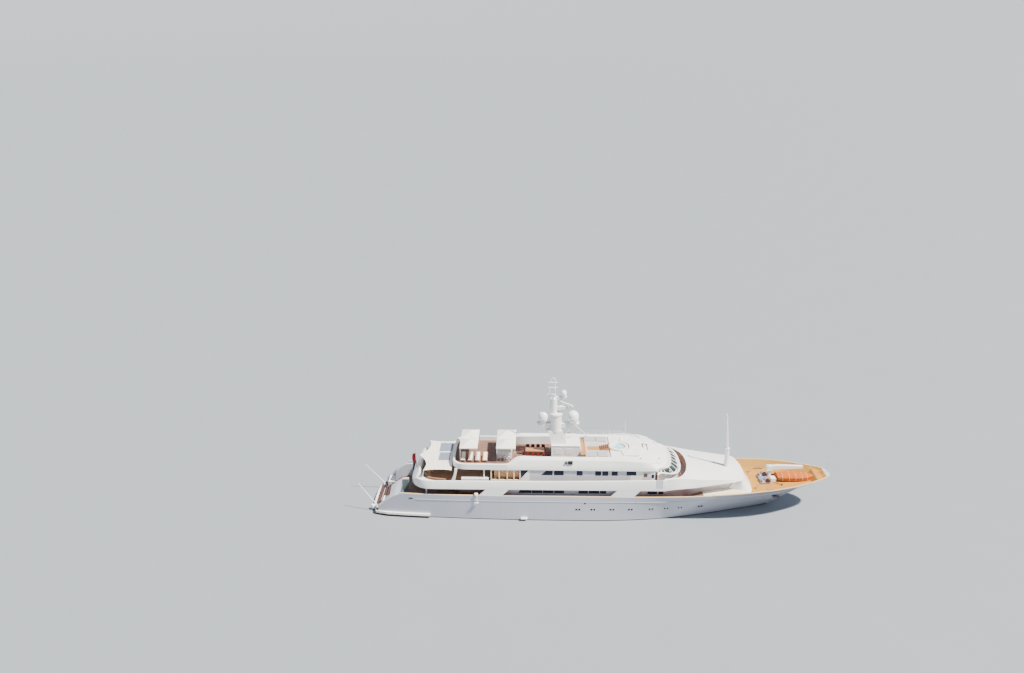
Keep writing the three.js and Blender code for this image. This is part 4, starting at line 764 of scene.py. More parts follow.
def hull_trim():
    lining, ramps, pockets = Shape(), Shape(), Shape()
    lined = span(WELL_AFT + 0.05, WELL_FORE - 0.05, 0.4) + span(WELL_FORE + 0.05, BOW_DECK_END - 0.05, 0.3)
    for side, word in SIDES:
        for kind, x0, x1, step, width, thick in (("cap", -29.9, 16.0, 0.6, 0.17, 0.03),
                                                 ("toe", 16.1, BOW_DECK_END + 0.2, 0.4, PLATE + 0.04, 0.05)):
            line = [(x, side * (hull_half(x, sheer_z(x)) - PLATE / 2), sheer_z(x) + FILM)
                    for x in span(x0, x1, step)]
            rail_along(line, width, thick, "rail_painted_highlight", f"{kind}_rail_{word}")
        knuckle = [(x, side * (hull_half(x, z) + 0.012), z) for x in span(-28.0, 27.0, 0.7)
                   for z in [3.2 + 0.55 * clamp((x - 8) / 18)]]
        Shape().tube(knuckle, 0.035).done(f"knuckle_{word}", "hull", slot="hull_paint")
        lining.loft([[(x, side * (hull_half(x, z) - PLATE - off), z) for off, z in
                      ((0, low), (0, high), (0.025, high), (0.025, low))]
                     for x in lined for low, high in [(deck_z(x) + 0.02, sheer_z(x) - 0.03)]])
        # Painted shade: the anchor pockets are not hollowed out; a flat dark patch on each side of the bow
        # stands for the shade inside them.
        pockets.loft([[(x, side * (hull_half(x, z) - depth), z) for x, z in ANCHOR_POCKET]
                      for depth in (0.03, -0.012)])
    for x0, x1, top in ((WELL_FORE - 0.7, WELL_FORE - 0.02, deck_z(WELL_FORE + 0.01)),
                        (BOW_DECK_END - 0.5, BOW_DECK_END - 0.02, sheer_z(BOW_DECK_END))):
        ramps.loft([level_strip(x, hull_half(x, z) - 0.28, z - 0.03, z + 0.02) for x, z in
                    ((x0 + (x1 - x0) * t, deck_z(x0) + (top - deck_z(x0)) * t) for t in (0, 0.5, 1))])
    lining.done("bulwark_lining", "lining")
    ramps.done("bow_ramps", "gold")
    pockets.done("anchor_pocket_painted_shade", "dark")


# Upper deck
UPPER_OUT = [(-28.9, 0), (-28.85, 2.4), (-28.45, 4.1), (-27.6, 5.2), (-26.4, 5.76), (-25, 5.85), (9.2, 5.85)]
UPPER_IN = [(-27.5, 0), (-27.45, 2.6), (-27.0, 4.2), (-26.2, 5.2), (-25, 5.6), (9.5, 5.6)]
band_top = straight([(-30, 5.3), (-28.9, 5.3), (-27.85, 6.5), (-15, 6.5), (-6, 6.58), (2.5, 6.74),
                     (9.2, 6.92)])
BAND_OUT, BAND_IN, BAND_END = 5.85, 5.6, 9.2
GATE_AFT, GATE_FORE = 7.7, 8.75
POLE_FOOT, POLE_HEAD = 5.7, 7.77
AWNING_POLES = [((-27.2, -5.1), (-26.75, -5.0)), ((-27.2, 5.1), (-26.75, 5.0)), ((-28.25, 0), (-27.85, 0))]


def stern_curve(port, x_fore, count):
    """The rounded stern part of a plan line, then straight to x_fore; equal counts match line to line."""
    curve = evenly(smoothed(port[:-1], 0.2), count)
    x, y = curve[-1]
    return curve + [(a, y) for a in span(x, x_fore, 1.5)[1:]]


def wall_rings(outer, inner, soft=0.05):
    """Sections of the upper bulwark between two plan lines, with a rounded top edge."""
    rings, rounding = [], [(0, -soft), (soft * 0.3, -soft * 0.3), (soft, 0)]
    for (ox, oy), (ix, iy) in zip(outer, inner):
        out, across = Vector((ox, oy, 0)), Vector((ix - ox, iy - oy, 0))
        width, way = across.length, across.normalized()
        profile = (rounding + [(width * t, 0) for t in (0.25, 0.5, 0.75, 0.85)]
                   + [(width - w, h) for w, h in reversed(rounding)])
        top = [out + way * w + Vector((0, 0, h + band_top((out + way * w).x))) for w, h in profile]
        rings.append([(ox, oy, UPPER_SLAB)] + top + [(ix, iy, UPPER_SLAB + 0.02)])
    return rings


def make_upper_deck():
    body = Shape()
    outer, inner = (round_the_stern(stern_curve(line, GATE_AFT, 22)) for line in (UPPER_OUT, UPPER_IN))
    body.loft(wall_rings(outer, inner))
    for side, _ in SIDES:
        body.loft(wall_rings(*([(x, side * y) for x in span(GATE_FORE, BAND_END, 0.3)]
                               for y in (BAND_OUT, BAND_IN))))
        body.box(GATE_AFT, GATE_FORE, side * BAND_IN, side * BAND_OUT, UPPER_SLAB, UPPER_DECK + 0.02)
        for aft, fore, lean in ((-18.5, -15.1, 1.1), (1.1, 4.5, 1.0)):
            body.across([(aft, BULWARK_TOP + FILM), (fore, BULWARK_TOP + FILM), (fore + lean, 5.2),
                         (aft + lean, 5.2)], side * 5.62, side * 5.845)
        body.tube([(-26.5, side * 4.6, MAIN_DECK), (-26.5, side * 4.6, UPPER_SLAB + 0.1)], 0.12, 20)
    for foot, head in AWNING_POLES:
        body.tube([(*foot, POLE_FOOT), (*head, POLE_HEAD)], 0.05, 12)
    inside = [(x + 0.1 * (x < -27), y) for x, y in inner]
    body.prism(inside, UPPER_SLAB + 0.01, UPPER_DECK)
    body.done("upper_deck_shell", "white", slot="house_paint", replaces=("upper_deck",))
    staff = Shape().tube([(-28.45, 0, 5.7), (-28.6, 0, 8.85)], [0.045, 0.035], 12)
    staff.turned([(0, 0), (0.07, 0.03), (0.07, 0.09), (0, 0.13)], (-28.6, 0, 8.83), sides=12)
    staff.done("ensign_staff", "rail")
    # The upper deck's teak is the lighter copy, painted light for the awning's shade.
    plan_sheet("teak_upper_deck", [(x + 0.04, y * 0.994) for x, y in inside], UPPER_DECK, "teak_lit_copy")


# Sundeck
SUN_OUT = [(-22.55, 0), (-22.5, 3.2), (-22.2, 4.1), (-21.5, 4.7), (-20.6, 4.9), (6, 5.0), (7.8, 4.85),
           (8.4, 4.25), (9.2, 4.0), (9.8, 3.5), (10.2, 2.7), (10.45, 1.4), (10.55, 0)]
SUN_IN = [(-22.25, 0), (-22.2, 3.2), (-21.9, 3.9), (-21.3, 4.45), (-20.5, 4.62)]
sun_top = through([(-23, 8.85), (-18, 8.85), (-14.4, 8.85), (-13.6, 9.15), (-12.6, 9.48), (-11, 9.5),
                   (0, 9.5), (4.5, 9.5), (6.2, 9.46), (7.2, 9.3), (8.2, 9.0), (9.2, 8.62), (10, 8.33),
                   (10.55, 8.2)])
coaming_slope = straight([(-14.4, 0.06), (-12.6, 0.36), (6, 0.36), (10, 0.9)])
coaming_foot = straight([(-14.4, 8.78), (-12.6, 8.35), (6, 8.35), (9, 8.2)])
BATH_X, BATH_RIM, BATH_WATER = 2.55, 1.45, 9.42
WELL_FORE_X, WELL_HALF, WELL_AFT_HALF = 1.2, 3.5, 4.62
ROOF_HALF, ROOF_CAMBER = 4.65, 0.22
COCKPIT_AFT, COCKPIT_Z = -2.66, 9.2


def sundeck_lines():
    """Port halves of the outer edge and of the well's edge, matched point by point."""
    side = span(-20.5, WELL_FORE_X, 0.35)
    stern_out, stern_in = (evenly(eased(line[:5]), 24) for line in (SUN_OUT, SUN_IN))
    bow_out = evenly([(WELL_FORE_X, 5.0)] + eased(SUN_OUT[5:]), 40)
    outer_half = straight([(-20.6, 4.9), (6, 5.0)])
    inner_half = through([(x, WELL_AFT_HALF) for x in (-20.5, -17, -14.4)]
                         + [(x, WELL_HALF) for x in (-13.0, -9, 2)])
    outer = stern_out[:-1] + [(x, outer_half(x)) for x in side] + bow_out[1:]
    inner = (stern_in[:-1] + [(x, min(inner_half(x), WELL_AFT_HALF)) for x in side]
             + [(WELL_FORE_X, WELL_HALF * (1 - i / 39)) for i in range(1, 40)])
    return outer, inner


def roof_z(x, y):
    """Top of the sundeck's bulwark, coaming and forward roof, with a little camber forward."""
    return sun_top(x) - ROOF_CAMBER * clamp((x - 3.0) / 4.0) * (y / ROOF_HALF) ** 2


def make_sundeck():
    outer, inner = sundeck_lines()

    def ring(cut):
        return whole([cut(Vector(o), Vector(i)) for o, i in zip(outer, inner)])

    def edge(share, rise):
        def cut(o, i):
            p, foot = o + (i - o).normalized() * coaming_slope(o.x) * share, coaming_foot(o.x)
            return p.x, p.y, foot + (roof_z(o.x, ROOF_HALF) - foot) * rise
        return ring(cut)

    def over(t):
        def cut(o, i):
            way = (i - o).normalized()
            p = (o + way * (coaming_slope(o.x) + 0.04)).lerp(i - way * 0.03, t)
            return p.x, p.y, roof_z(p.x, p.y)
        return ring(cut)

    rings = [ring(lambda o, i: (o.x, o.y, SUN_SLAB)), edge(0, 0)]
    rings += [edge(a, b) for a, b in ((0.3, 0.34), (0.62, 0.68), (0.85, 0.9), (0.96, 0.975))]
    rings += [over(t) for t in (0, 0.04, 0.1, 0.18, 0.28, 0.4, 0.52, 0.64, 0.76, 0.88, 0.97, 1)]
    rings += [ring(lambda o, i: (i.x, i.y, roof_z(i.x, i.y) - 0.04)), ring(lambda o, i: (i.x, i.y, SUN_DECK))]
    piece = Shape().loft(rings).done("sundeck_shell", "white", slot="house_paint", replaces=("sundeck",))
    hole = BATH_RIM - 0.02
    carve(piece, Shape().turned([(hole, SUN_DECK), (hole, 12)], (BATH_X, 0, 0), sides=48), 30)
    Shape().box(COCKPIT_AFT, WELL_FORE_X + 0.02, -3.52, 3.52, SUN_DECK + 0.014, COCKPIT_Z).done(
        "cockpit_floor", "white", bevel=0.015)
    foot = UPPER_DECK + 0.01
    Shape().across([(-22.9, foot), (-22.2, foot), (-21.75, SUN_SLAB), (-22.15, SUN_SLAB), (-22.3, 7.0)],
                   4.45, 4.75).mirror().done("sundeck_props", "white", bevel=0.04)
    plan_sheet("teak_sundeck", whole([(x, y * 0.996) for x, y in inner]), SUN_DECK, "teak")


# Fore house and bridge
# x, half-breadth and height of the eave, half-breadth and height of the shoulder, height of the crown
COACH = [
    (9.0, 5.84, 5.15, 5.76, 6.95, 7.1), (11.0, 5.78, 5.4, 5.5, 7.0, 7.25), (13.0, 5.42, 5.4, 5.1, 6.8, 7.25),
    (14.5, 5.2, 5.5, 4.95, 6.6, 7.0), (17.0, 4.8, 5.7, 4.55, 6.4, 6.7), (20.0, 4.25, 5.92, 4.15, 6.15, 6.35),
    (21.6, 3.95, 6.0, 3.9, 6.03, 6.1),
]
eave_y, eave_z, shoulder_y, shoulder_top, crown_z = columns(COACH)
COACH_FRONT = [(19.8, 3.8), (20.9, 3.9), (21.3, 2.6), (21.5, 1.4), (21.55, 0)]
APRON_FOOT = [(18.8, 3.3), (21.25, 4.2), (22.35, 3.7), (22.75, 1.9), (22.85, 0)]
FORE_HOUSE = [(12, 4.4), (14, 3.9), (17, 3.5), (20, 3.2), (21, 3.15)]
WALK_IN = [(8, 5.38), (9, 5.38), (10.3, 5.25), (11.0, 5.1), (11.78, 4.35), (12.5, 2.95),
           (12.85, 1.2), (12.88, 0)]
BRIDGE = [(4.0, 4.8), (8.05, 4.8), (8.3, 4.1), (9.5, 4.25), (10.3, 4.2), (11.05, 3.5), (11.5, 1.8), (11.6, 0)]
BRIDGE_SILL, BRIDGE_LEDGE, BRIDGE_RAKE = 7.35, 0.06, 1.1


def coach_top(x, y):
    return shoulder_top(x) + (crown_z(x) - shoulder_top(x)) * (1 - (y / shoulder_y(x)) ** 2)


def coach_ring(x):
    ey, ez, sy, sz = eave_y(x), eave_z(x), shoulder_y(x), shoulder_top(x)
    port = [(0, ez), (ey - 0.05, ez), (ey, ez + 0.02), (ey, ez + 0.07)]
    port += [(ey + (sy - ey) * t, ez + (sz - ez) * t) for t in (0.35, 0.65, 0.85)]
    port += [(y, coach_top(x, y)) for y in (sy * (1 - i / 13) for i in range(14))]
    # The fore end of the roof curves back towards the sides
    bend = 0.65 * clamp((x - 19.6) / 2.0)
    return whole([(x - bend * (y / 3.9) ** 2, y, z) for y, z in port])


def make_fore_house():
    body = Shape().loft([coach_ring(x) for x in span(9.0, 21.55, 0.3)])
    body.prism([(9.0, 4.95), (12, 4.45), (12, -4.45), (9.0, -4.95)], UPPER_SLAB, 5.5)
    piece = body.done("coach_roof_shell", "white", slot="house_paint", angle=32, replaces=("coach_roof",))
    pocket = whole(eased(WALK_IN, 0.25), 0)
    carve(piece, Shape().prism(pocket, UPPER_DECK, 9), 32)
    plan_sheet("teak_bridge_walk", [(x, y * 0.995) for x, y in pocket], UPPER_DECK - 0.01, "walk")
    lining = [[(x + dx, y * (1 - dx / 5), UPPER_DECK + 0.02 if low else coach_top(x, y) - 0.08)
               for dx, low in ((-0.005, True), (-0.02, True), (-0.02, False), (-0.005, False))]
              for x, y in pocket if x > 9.2]
    Shape().loft(lining).done("bridge_walk_lining", "walk")
    apron = []
    for top, t in ((6.03, 0.0), (5.92, 0.05), (5.55, 0.22), (5.0, 0.48), (4.5, 0.74), (4.02, 1.0)):
        line = [(a[0] + (b[0] - a[0]) * t, a[1] + (b[1] - a[1]) * t) for a, b in zip(COACH_FRONT, APRON_FOOT)]
        line = evenly(eased(line), 24)
        apron.append(whole([(line[0][0], 0, top)] + [(x, y, top) for x, y in line]))
    Shape().loft(apron).done("coach_apron", "white", slot="house_paint", angle=50)
    house = FORE_HOUSE + [(x, -y) for x, y in reversed(FORE_HOUSE)]
    # The coach side is tinted with the painted shade of the eave above it.
    Shape().prism(house, 3.3, 5.9).done("coach_side", "coach_wall")


def bridge_line(inset, lean):
    """The wheelhouse wall's plan, port half, leaning aft by so much at the middle."""
    line = []
    for x, y in BRIDGE:
        part = lean * max(x - 8.1, 0) / 3.5
        line.append((x - part - inset * (x > 8.2), max(y * (1 - 0.18 * part) - inset, 0)))
    return line


def make_bridge():
    """A raked band of dark panes between white mullions, over a broad white sill."""
    slope = (BRIDGE_RAKE - BRIDGE_LEDGE) / (SUN_SLAB - BRIDGE_SILL)

    def line(inset, z):
        port = [p for p in bridge_line(inset, BRIDGE_LEDGE + slope * (z - BRIDGE_SILL)) if p[0] > 8.0]
        return whole([(x, y, z) for x, y in evenly(eased(port), 31)], 0)
    low, high = BRIDGE_SILL + 0.03, SUN_SLAB - 0.03
    rings = [line(-0.01, low), line(-0.01, high), line(0.03, high), line(0.03, low)]
    Shape().loft(rings, closed=False, loop=True, caps=False).done("bridge_glazing", "bridge_glass")
    bars, feet, heads = Shape(), line(-0.02, low), line(-0.02, high)
    for i in range(3, len(feet) - 3, 5):
        bars.tube([feet[i], heads[i]], 0.05)
    bars.done("bridge_mullions", "white")
    rail_along(line(-0.14, BRIDGE_SILL - 0.06), 0.3, 0.08, "white", "bridge_sill")


# Soft goods
PAD_PRESSURE, PAD_FRAMES = 4.0, 20
CANOPY_HALF, CANOPY_EAVE, CANOPY_RISE, VALANCE = 3.25, 10.65, 0.58, 0.13
AWNING_HALF, AWNING_AFT, AWNING_FORE, AWNING_Z = 5.1, -27.95, -22.62, 7.83
ENSIGN_TOP, ENSIGN_HOIST = 8.12, 1.54
AWNING_MESH = [(-25.05, -23.0, 1.3, 4.3), (-24.9, -23.15, -1.7, 1.05)]
SUN_PAD_EDGE = [(6.2, -0.4), (6.2, 0), (6.15, 1.4), (5.9, 2.5), (5.3, 3.2), (3.2, 3.2)]
SUN_PAD_IN, SUN_PAD_TOP, CHANNELS = 1.6, 9.65, (1.95, 2.35, 2.75, 3.15)


def puffed(name, shape, look, voxel, cap, replaces=(), grooves=None):
    """A stuffed pad: the plain form is blown up a little as cloth, then its sewn channels are pressed in."""
    pad = shape.done(name, look, slot="cushion", replaces=replaces)
    remesh = pad.modifiers.new("remesh", "REMESH")
    remesh.mode, remesh.voxel_size = "VOXEL", voxel
    bake(pad)
    before = [v.co.copy() for v in pad.data.vertices]
    sim = pad.modifiers.new("cloth", "CLOTH")
    sim.settings.use_pressure, sim.settings.uniform_pressure_force = True, PAD_PRESSURE
    sim.settings.effector_weights.gravity = 0
    sim.point_cache.frame_start, sim.point_cache.frame_end = 1, PAD_FRAMES
    for step in range(1, PAD_FRAMES + 1):
        bpy.context.scene.frame_set(step)
    bake(pad)
    bpy.context.scene.frame_set(1)
    for vertex, start in zip(pad.data.vertices, before):
        move = vertex.co - start
        if move.length > cap:
            vertex.co = start + move.normalized() * cap
        if grooves:
            vertex.co.z -= grooves(vertex.co / K) * K
    rounded = pad.modifiers.new("rounded", "SUBSURF")
    rounded.levels = rounded.render_levels = 1
    bake(pad)
    pad.data.shade_smooth()
    return pad


def awning(wide=56, deep=44):
    """One sheet held by three poles and the sundeck's edge, hollow between them, with two mesh panels."""
    points = []
    for v in (i / deep for i in range(deep + 1)):
        half, line = AWNING_HALF - 0.15 * v - 0.3 * 4 * v * (1 - v), []
        for u in (2 * j / wide - 1 for j in range(wide + 1)):
            t = abs(u)
            aft = AWNING_AFT + 1.1 * t + 0.75 * 4 * t * (1 - t)
            x = aft + (AWNING_FORE - aft) * v
            sag = 0.10 * sin(pi * v) * (1 - 0.7 * t) + 0.05 * sin(2 * pi * t) * (1 - v)
            line.append((x, u * half, AWNING_Z - sag * 0.6 + 0.012 * sin(9 * x + 5 * u)))
        points.append(line)
    sheet = Shape().sheet(points, (0, 0, -0.006)).done("awning_sheet", "canvas", replaces=("awning",))
    sheet.data.materials.append(LOOKS["mesh"])
    for face in sheet.data.polygons:
        at = face.center / K
        if any(x0 < at.x < x1 and y0 < at.y < y1 for x0, x1, y0, y1 in AWNING_MESH):
            face.material_index = 1


def canopy(name, x0, x1, n=24):
    """A sheet over a frame: two shallow pyramids side by side, with a short valance all round."""
    mid, hx, hy, hem, points = (x0 + x1) / 2, (x1 - x0) / 2, CANOPY_HALF / 2, CANOPY_EAVE - VALANCE, []
    for y in (CANOPY_HALF * (i / n - 1) for i in range(2 * n + 1)):
        line = [(x0, y, hem)]
        for x in (x0 + (x1 - x0) * j / n for j in range(n + 1)):
            away = max(abs(x - mid) / hx, abs(abs(y) - hy) / hy)
            line.append((x, y, CANOPY_EAVE + CANOPY_RISE * max(1 - away, 0) ** 1.05))
        points.append(line + [(x1, y, hem)])
    ends = [[(x, y + push, hem) for x, y, _ in points[k]] for k, push in ((0, -0.001), (-1, 0.001))]
    sheet = Shape().sheet([ends[0]] + points + [ends[1]], (0, 0, -0.005)).done(
        f"{name}_sheet", "canopy", slot="canvas", angle=14, replaces=(name,))


def tender_wrap():
    """The tender's cover: a taut ridge, sides that hang in hollows, and a hem drawn in under the gunwale."""
    deck, points, lashings = deck_z(28), [], Shape()
    # x, half-breadth, and how far the ridge drops
    wide, drop = columns([(27.0, 0.9, 0.12), (28.3, 1.0, 0.0), (30.4, 1.0, 0.03), (31.6, 0.75, 0.12),
                          (32.45, 0.25, 0.28)])
    for x in span(26.95, 32.5, 0.07):
        w, top = wide(x) + 0.06, deck + 1.12 - drop(x)
        fold = 0.022 * sin(x * 7.3) + 0.012 * sin(x * 17 + 1)
        port = [(0, top), (0.2 * w, top - 0.012), (0.45 * w, top - 0.07 + fold * 0.4),
                (0.75 * w, top - 0.16 + fold), (0.93 * w, deck + 0.80 + fold), (w, deck + 0.68),
                (w, deck + 0.5), (w * 0.985, deck + 0.3)]
        points.append([(x, y, z) for y, z in reversed(port)] + [(x, -y, z) for y, z in port[1:]])
    low = [(26.93, y * 0.9, deck + 0.32) for _, y, z in points[0]]
    end = [(26.92, y * 0.96, z - 0.03) for _, y, z in points[0]]
    tip = [(32.54, y * 0.5, z - 0.12) for _, y, z in points[-1]]
    sheet = Shape().sheet([low, end] + points + [tip], (0, 0, -0.006)).done(
        "tender_cover_sheet", "orange", slot="boat_cover", angle=60, replaces=("tender_cover",))
    for x in (27.7, 28.7, 29.7, 30.7, 31.5):
        w, top = wide(x) + 0.075, deck + 1.135 - drop(x)
        lashings.tube(whole([(x, y, z) for y, z in (
            (w * 0.99, deck + 0.3), (w * 1.005, deck + 0.66), (w * 0.93, deck + 0.82), (0.75 * w, top - 0.14),
            (0.4 * w, top - 0.05), (0, top))], 0), 0.018, 6)
    lashings.done("tender_lashings", "cream")


def flag(folds=7, steps=42):
    """The plain ensign hangs limp beside its staff, in upright folds."""
    points = []
    for h in (i / 24 for i in range(25)):
        z = ENSIGN_TOP - ENSIGN_HOIST * h
        staff = -28.45 - 0.15 * (z - 5.7) / 3.15 - 0.05
        reach = 0.26 + 0.29 * sin(pi * min(h * 0.7 + 0.12, 1))
        points.append([(staff - reach * t + 0.02 * sin(6 * h + 5 * t),
                        cos(t * folds * pi) * (0.025 + 0.045 * t ** 0.5),
                        z - 0.10 * t * (1 - 0.6 * h)) for t in (j / steps for j in range(steps + 1))])
    sheet = Shape().sheet(points, (-0.002, 0.004, 0)).done(
        "ensign_sheet", "red", slot="flag_cloth", angle=80, replaces=("ensign",))


def slab_pad(x0, x1, y0, y1, z0, z1, r=0.12):
    return Shape().loft([[(x, y, z) for x, y in rounded_plan(x0 + e, x1 - e, y0 + e, y1 - e, r)]
                         for e, z in ((0.03, z0), (0, z0 + 0.03), (0, z1 - 0.04), (0.03, z1))])


def sun_bed():
    """The crescent pad round the bath, with sewn channels that follow its curve."""
    inner, foot, top, rings = SUN_PAD_IN, SUN_PAD_TOP - 0.13, SUN_PAD_TOP, []
    edge = [p - Vector((BATH_X, 0)) for p in smoothed(SUN_PAD_EDGE, 0.2)]
    for a in (radians(-81 + 162 * k / 40) for k in range(41)):
        way, side = Vector((cos(a), abs(sin(a)))), copysign(1, a)
        reach = min((p.length for p in edge if p.normalized().dot(way) > 0.999), default=3.25)
        rings.append([(BATH_X + r * way.x, side * r * way.y, z) for r, z in (
            (inner, foot), (inner, top - 0.03), (inner + 0.04, top), (reach - 0.06, top),
            (reach - 0.02, top - 0.03), (reach - 0.02, foot))])

    def grooves(p):
        r = hypot(p.x - BATH_X, p.y)
        return 0 if p.z < 9.6 else sum(0.05 * exp(-((r - at) / 0.045) ** 2) for at in CHANNELS)
    puffed("sun_pad_cushion", Shape().loft(rings), "cushion", 0.028, 0.02, ("sun_pad",), grooves)


def seats():
    """Settees of the sundeck, each with its own pads."""
    plinths = Shape().prism([(-2.65, -3.38), (0.93, -3.38), (0.93, -1.72), (-2.28, -1.72), (-2.28, 1.72),
                             (0.93, 1.72), (0.93, 3.38), (-2.65, 3.38)], COCKPIT_Z + 0.004, 9.44)
    plinths.box(-21.18, -19.22, 1.32, 2.98, SUN_DECK + LIFT, 8.40)
    plinths.done("settee_plinths", "white", bevel=0.03)
    seat, sofa = (9.46, 9.6), (1.36, 2.6, 8.42, 8.56)
    rows = [("cockpit_pad_aft", (-2.64, -2.29, -1.7, 1.7, *seat), ("cockpit_sofa",))]
    for word, y0, y1 in (("starboard", -3.37, -1.73), ("port", 1.73, 3.37)):
        rows += [(f"cockpit_pad_{word}_a", (-2.64, -0.87, y0, y1, *seat), ()),
                 (f"cockpit_pad_{word}_b", (-0.83, 0.92, y0, y1, *seat), ())]
    rows += [("aft_sofa_pad_a", (-21.15, -20.24, *sofa), ("aft_sofa",)),
             ("aft_sofa_pad_b", (-20.16, -19.26, *sofa), ()),
             ("aft_sofa_back", (-21.15, -19.26, 2.68, 2.94, 8.42, 8.9), ())]
    for name, size, stands_for in rows:
        puffed(name, slab_pad(*size), "tan" if "aft" in name else "pad", 0.02, 0.014, replaces=stands_for)


def loungers():
    """Four sunbeds with slatted frames; one pad is blown up and the others are copies of it."""
    frames, starts = Shape(), (-21.4, -20.3, -19.2, -18.1)
    for x in starts:
        for edge in (x, x + 0.74):
            frames.tube([(edge, -3.0, 8.48), (edge, -1.55, 8.48), (edge, -0.95, 8.86)], 0.03)
            for y in (-2.85, -1.5):
                frames.tube([(edge, y, 8.16), (edge, y, 8.48)], 0.03)
        for y in span(-2.95, -1.6, 0.15):
            frames.box(x + 0.02, x + 0.72, y - 0.04, y + 0.04, 8.485, 8.5)
    frames.done("lounger_frames", "honey")
    section = [(-3.0, 8.5), (-1.56, 8.5), (-0.97, 8.88), (-1.02, 8.97), (-1.6, 8.6), (-3.0, 8.6)]
    form = Shape().loft([[(starts[0] + e, y, z) for y, z in section] for e in (0.06, 0.12, 0.62, 0.68)])
    pad = puffed("lounger_pad_1", form, "cushion", 0.016, 0.012)
    for i, at in enumerate(starts[1:], 2):
        mesh = pad.data.copy()
        mesh.transform(Matrix.Translation(((at - starts[0]) * K, 0, 0)))
        other = linked(f"lounger_pad_{i}", mesh)
        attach(other, ROOT)


# Sundeck fittings
def guard_rail(r=0.03, spacing=1.0):
    """The rail beside the bath, with two lower rails and its uprights."""
    height = straight([(-3.2, 0.95), (3.0, 0.85), (6.2, 0.12)])
    low = [(x, 4.3 - 0.9 * max((x - 3.2) / 3.2, 0) ** 2, roof_z(x, 4.2)) for x in span(-3.2, 6.2, 0.25)]
    top = [(x, y, z + height(x)) for x, y, z in low]
    rail = Shape().tube(top, r * 1.3)
    for t in (1 / 3, 2 / 3):
        rail.tube([Vector(a).lerp(Vector(b), t) for a, b in zip(top, low)], r * 0.7, 6)
    walked = spacing
    for i, (foot, head) in enumerate(zip(low, top)):
        walked += (Vector(head) - Vector(top[max(i - 1, 0)])).length
        if walked >= spacing or i == len(top) - 1:
            rail.tube([foot, head], r)
            rail.turned([(0.07, 0), (0.07, 0.02), (0, 0.03)], foot, sides=10)
            walked = 0.0
    rail.done("sundeck_guard_rail", "steel")


def sundeck_fittings():
    whips, vents, lamps = Shape(), Shape(), Shape()
    for x, y, z0, z1 in ((4.0, 4.25, 9.4, 12.1), (2.3, 4.3, 9.5, 10.4), (1.5, 4.3, 9.5, 10.6)):
        whips.tube([(x, y, z0), (x - 0.05, y, z1)], [0.035, 0.015])
        whips.turned([(0.07, 0), (0.07, 0.14), (0.03, 0.2)], (x, y, z0), sides=10)
    whips.tube([(-4.1, 0.25, 12.95), (-2.0, 3.75, 9.5)], 0.065, 10)
    whips.done("whip_antennas", "mast")
    for x0, x1, z0, z1 in ((-5.68, -5.5, 9.0, 9.4), (-5.3, -4.6, 8.95, 9.42)):
        vents.box(x0, x1, -4.99 + (z1 - 9.4) * 0.2, -4.7, z0, z1)
        for z in span(z0 + 0.06, z1 - 0.06, 0.08):
            vents.box(x0, x1, -5.0, -4.9, z, z + 0.02)
    vents.mirror().done("side_vents", "dark")
    for x, y in ((8.35, 2.9), (8.45, -2.5), (5.5, -3.7)):
        lamps.turned([(0.12, -0.02), (0.12, 0.03), (0.08, 0.07), (0, 0.09)], (x, y, roof_z(x, y)), sides=16)
    lamps.across([(6.2, 9.42), (7.1, 9.28), (7.1, 9.36), (6.2, 9.5)], 1.1, 1.24)
    lamps.across([(6.2, 9.42), (6.35, 9.4), (6.35, 9.48), (6.2, 9.5)], -0.1, 1.24)
    lamps.across([(6.9, 9.3), (7.02, 9.28), (7.02, 9.36), (6.9, 9.38)], -0.6, 1.2)
    lamps.done("roof_fittings", "dark")


def mast_house_trim():
    deck, floor = SUN_DECK + LIFT, COCKPIT_Z + 0.003
    Shape().across([(-2.71, deck), (-2.67, deck), (-2.67, 9.46), (-3.3, 9.46), (-3.3, 9.36), (-3.05, 9.22)],
                   -2.68, 2.68).done("mast_house_steps", "step_wood", bevel=0.015)
    trim = Shape().box(-7.75, -3.36, -1.66, 1.66, 10.3, 10.36)
    for x0, x1 in ((-7.2, -6.2), (-5.6, -4.6)):
        trim.box(x0, x1, -1.625, -1.595, 8.9, 9.9)
    trim.mirror().done("mast_house_trim", "white", bevel=0.02)
    risers, noses = Shape(), Shape()
    for i in range(5):
        x, z = -0.36 + 0.29 * i, COCKPIT_Z + 0.075 * (i + 1)
        risers.box(x, x + 0.3, -0.74, 0.74, floor, z)
        noses.box(x + 0.04, x + 0.2, -0.7, 0.7, z + FILM, z + 0.05)
    risers.done("bath_steps", "step_wood", bevel=0.01)
    noses.done("bath_step_treads", "mahogany", bevel=0.01)
    Shape().box(-2.26, -0.37, -0.6, 0.6, floor, COCKPIT_Z + 0.03).done(
        "cockpit_boards", "step_wood", bevel=0.006)
    Shape().box(-2.24, 0.92, 0.64, 1.68, floor, COCKPIT_Z + 0.014).mirror().done("cockpit_mats", "mat")


def hot_tub_trim():
    rings = [[(BATH_X + max(r, 0.001) * cos(a), max(r, 0.001) * sin(a),
               BATH_WATER + 0.012 * sin(6 * a + 9 * r) * r) for a in turn(48)]
             for r in (1.02 * i / 14 for i in range(15))]
    rings += [[(x, y, BATH_WATER - 0.06) for x, y, _ in rings[k]] for k in (-1, 0)]
    Shape().loft(rings).done("tub_water", "water", angle=60)
    Shape().hoop(BATH_X, 9.63, 1.25, 0.2, 0.05, 10).done("tub_rim", "dome")
    Shape().hoop(BATH_X, 9.52, 1.53, 0.06, 0.03, 8).done("tub_surround", "step_wood")


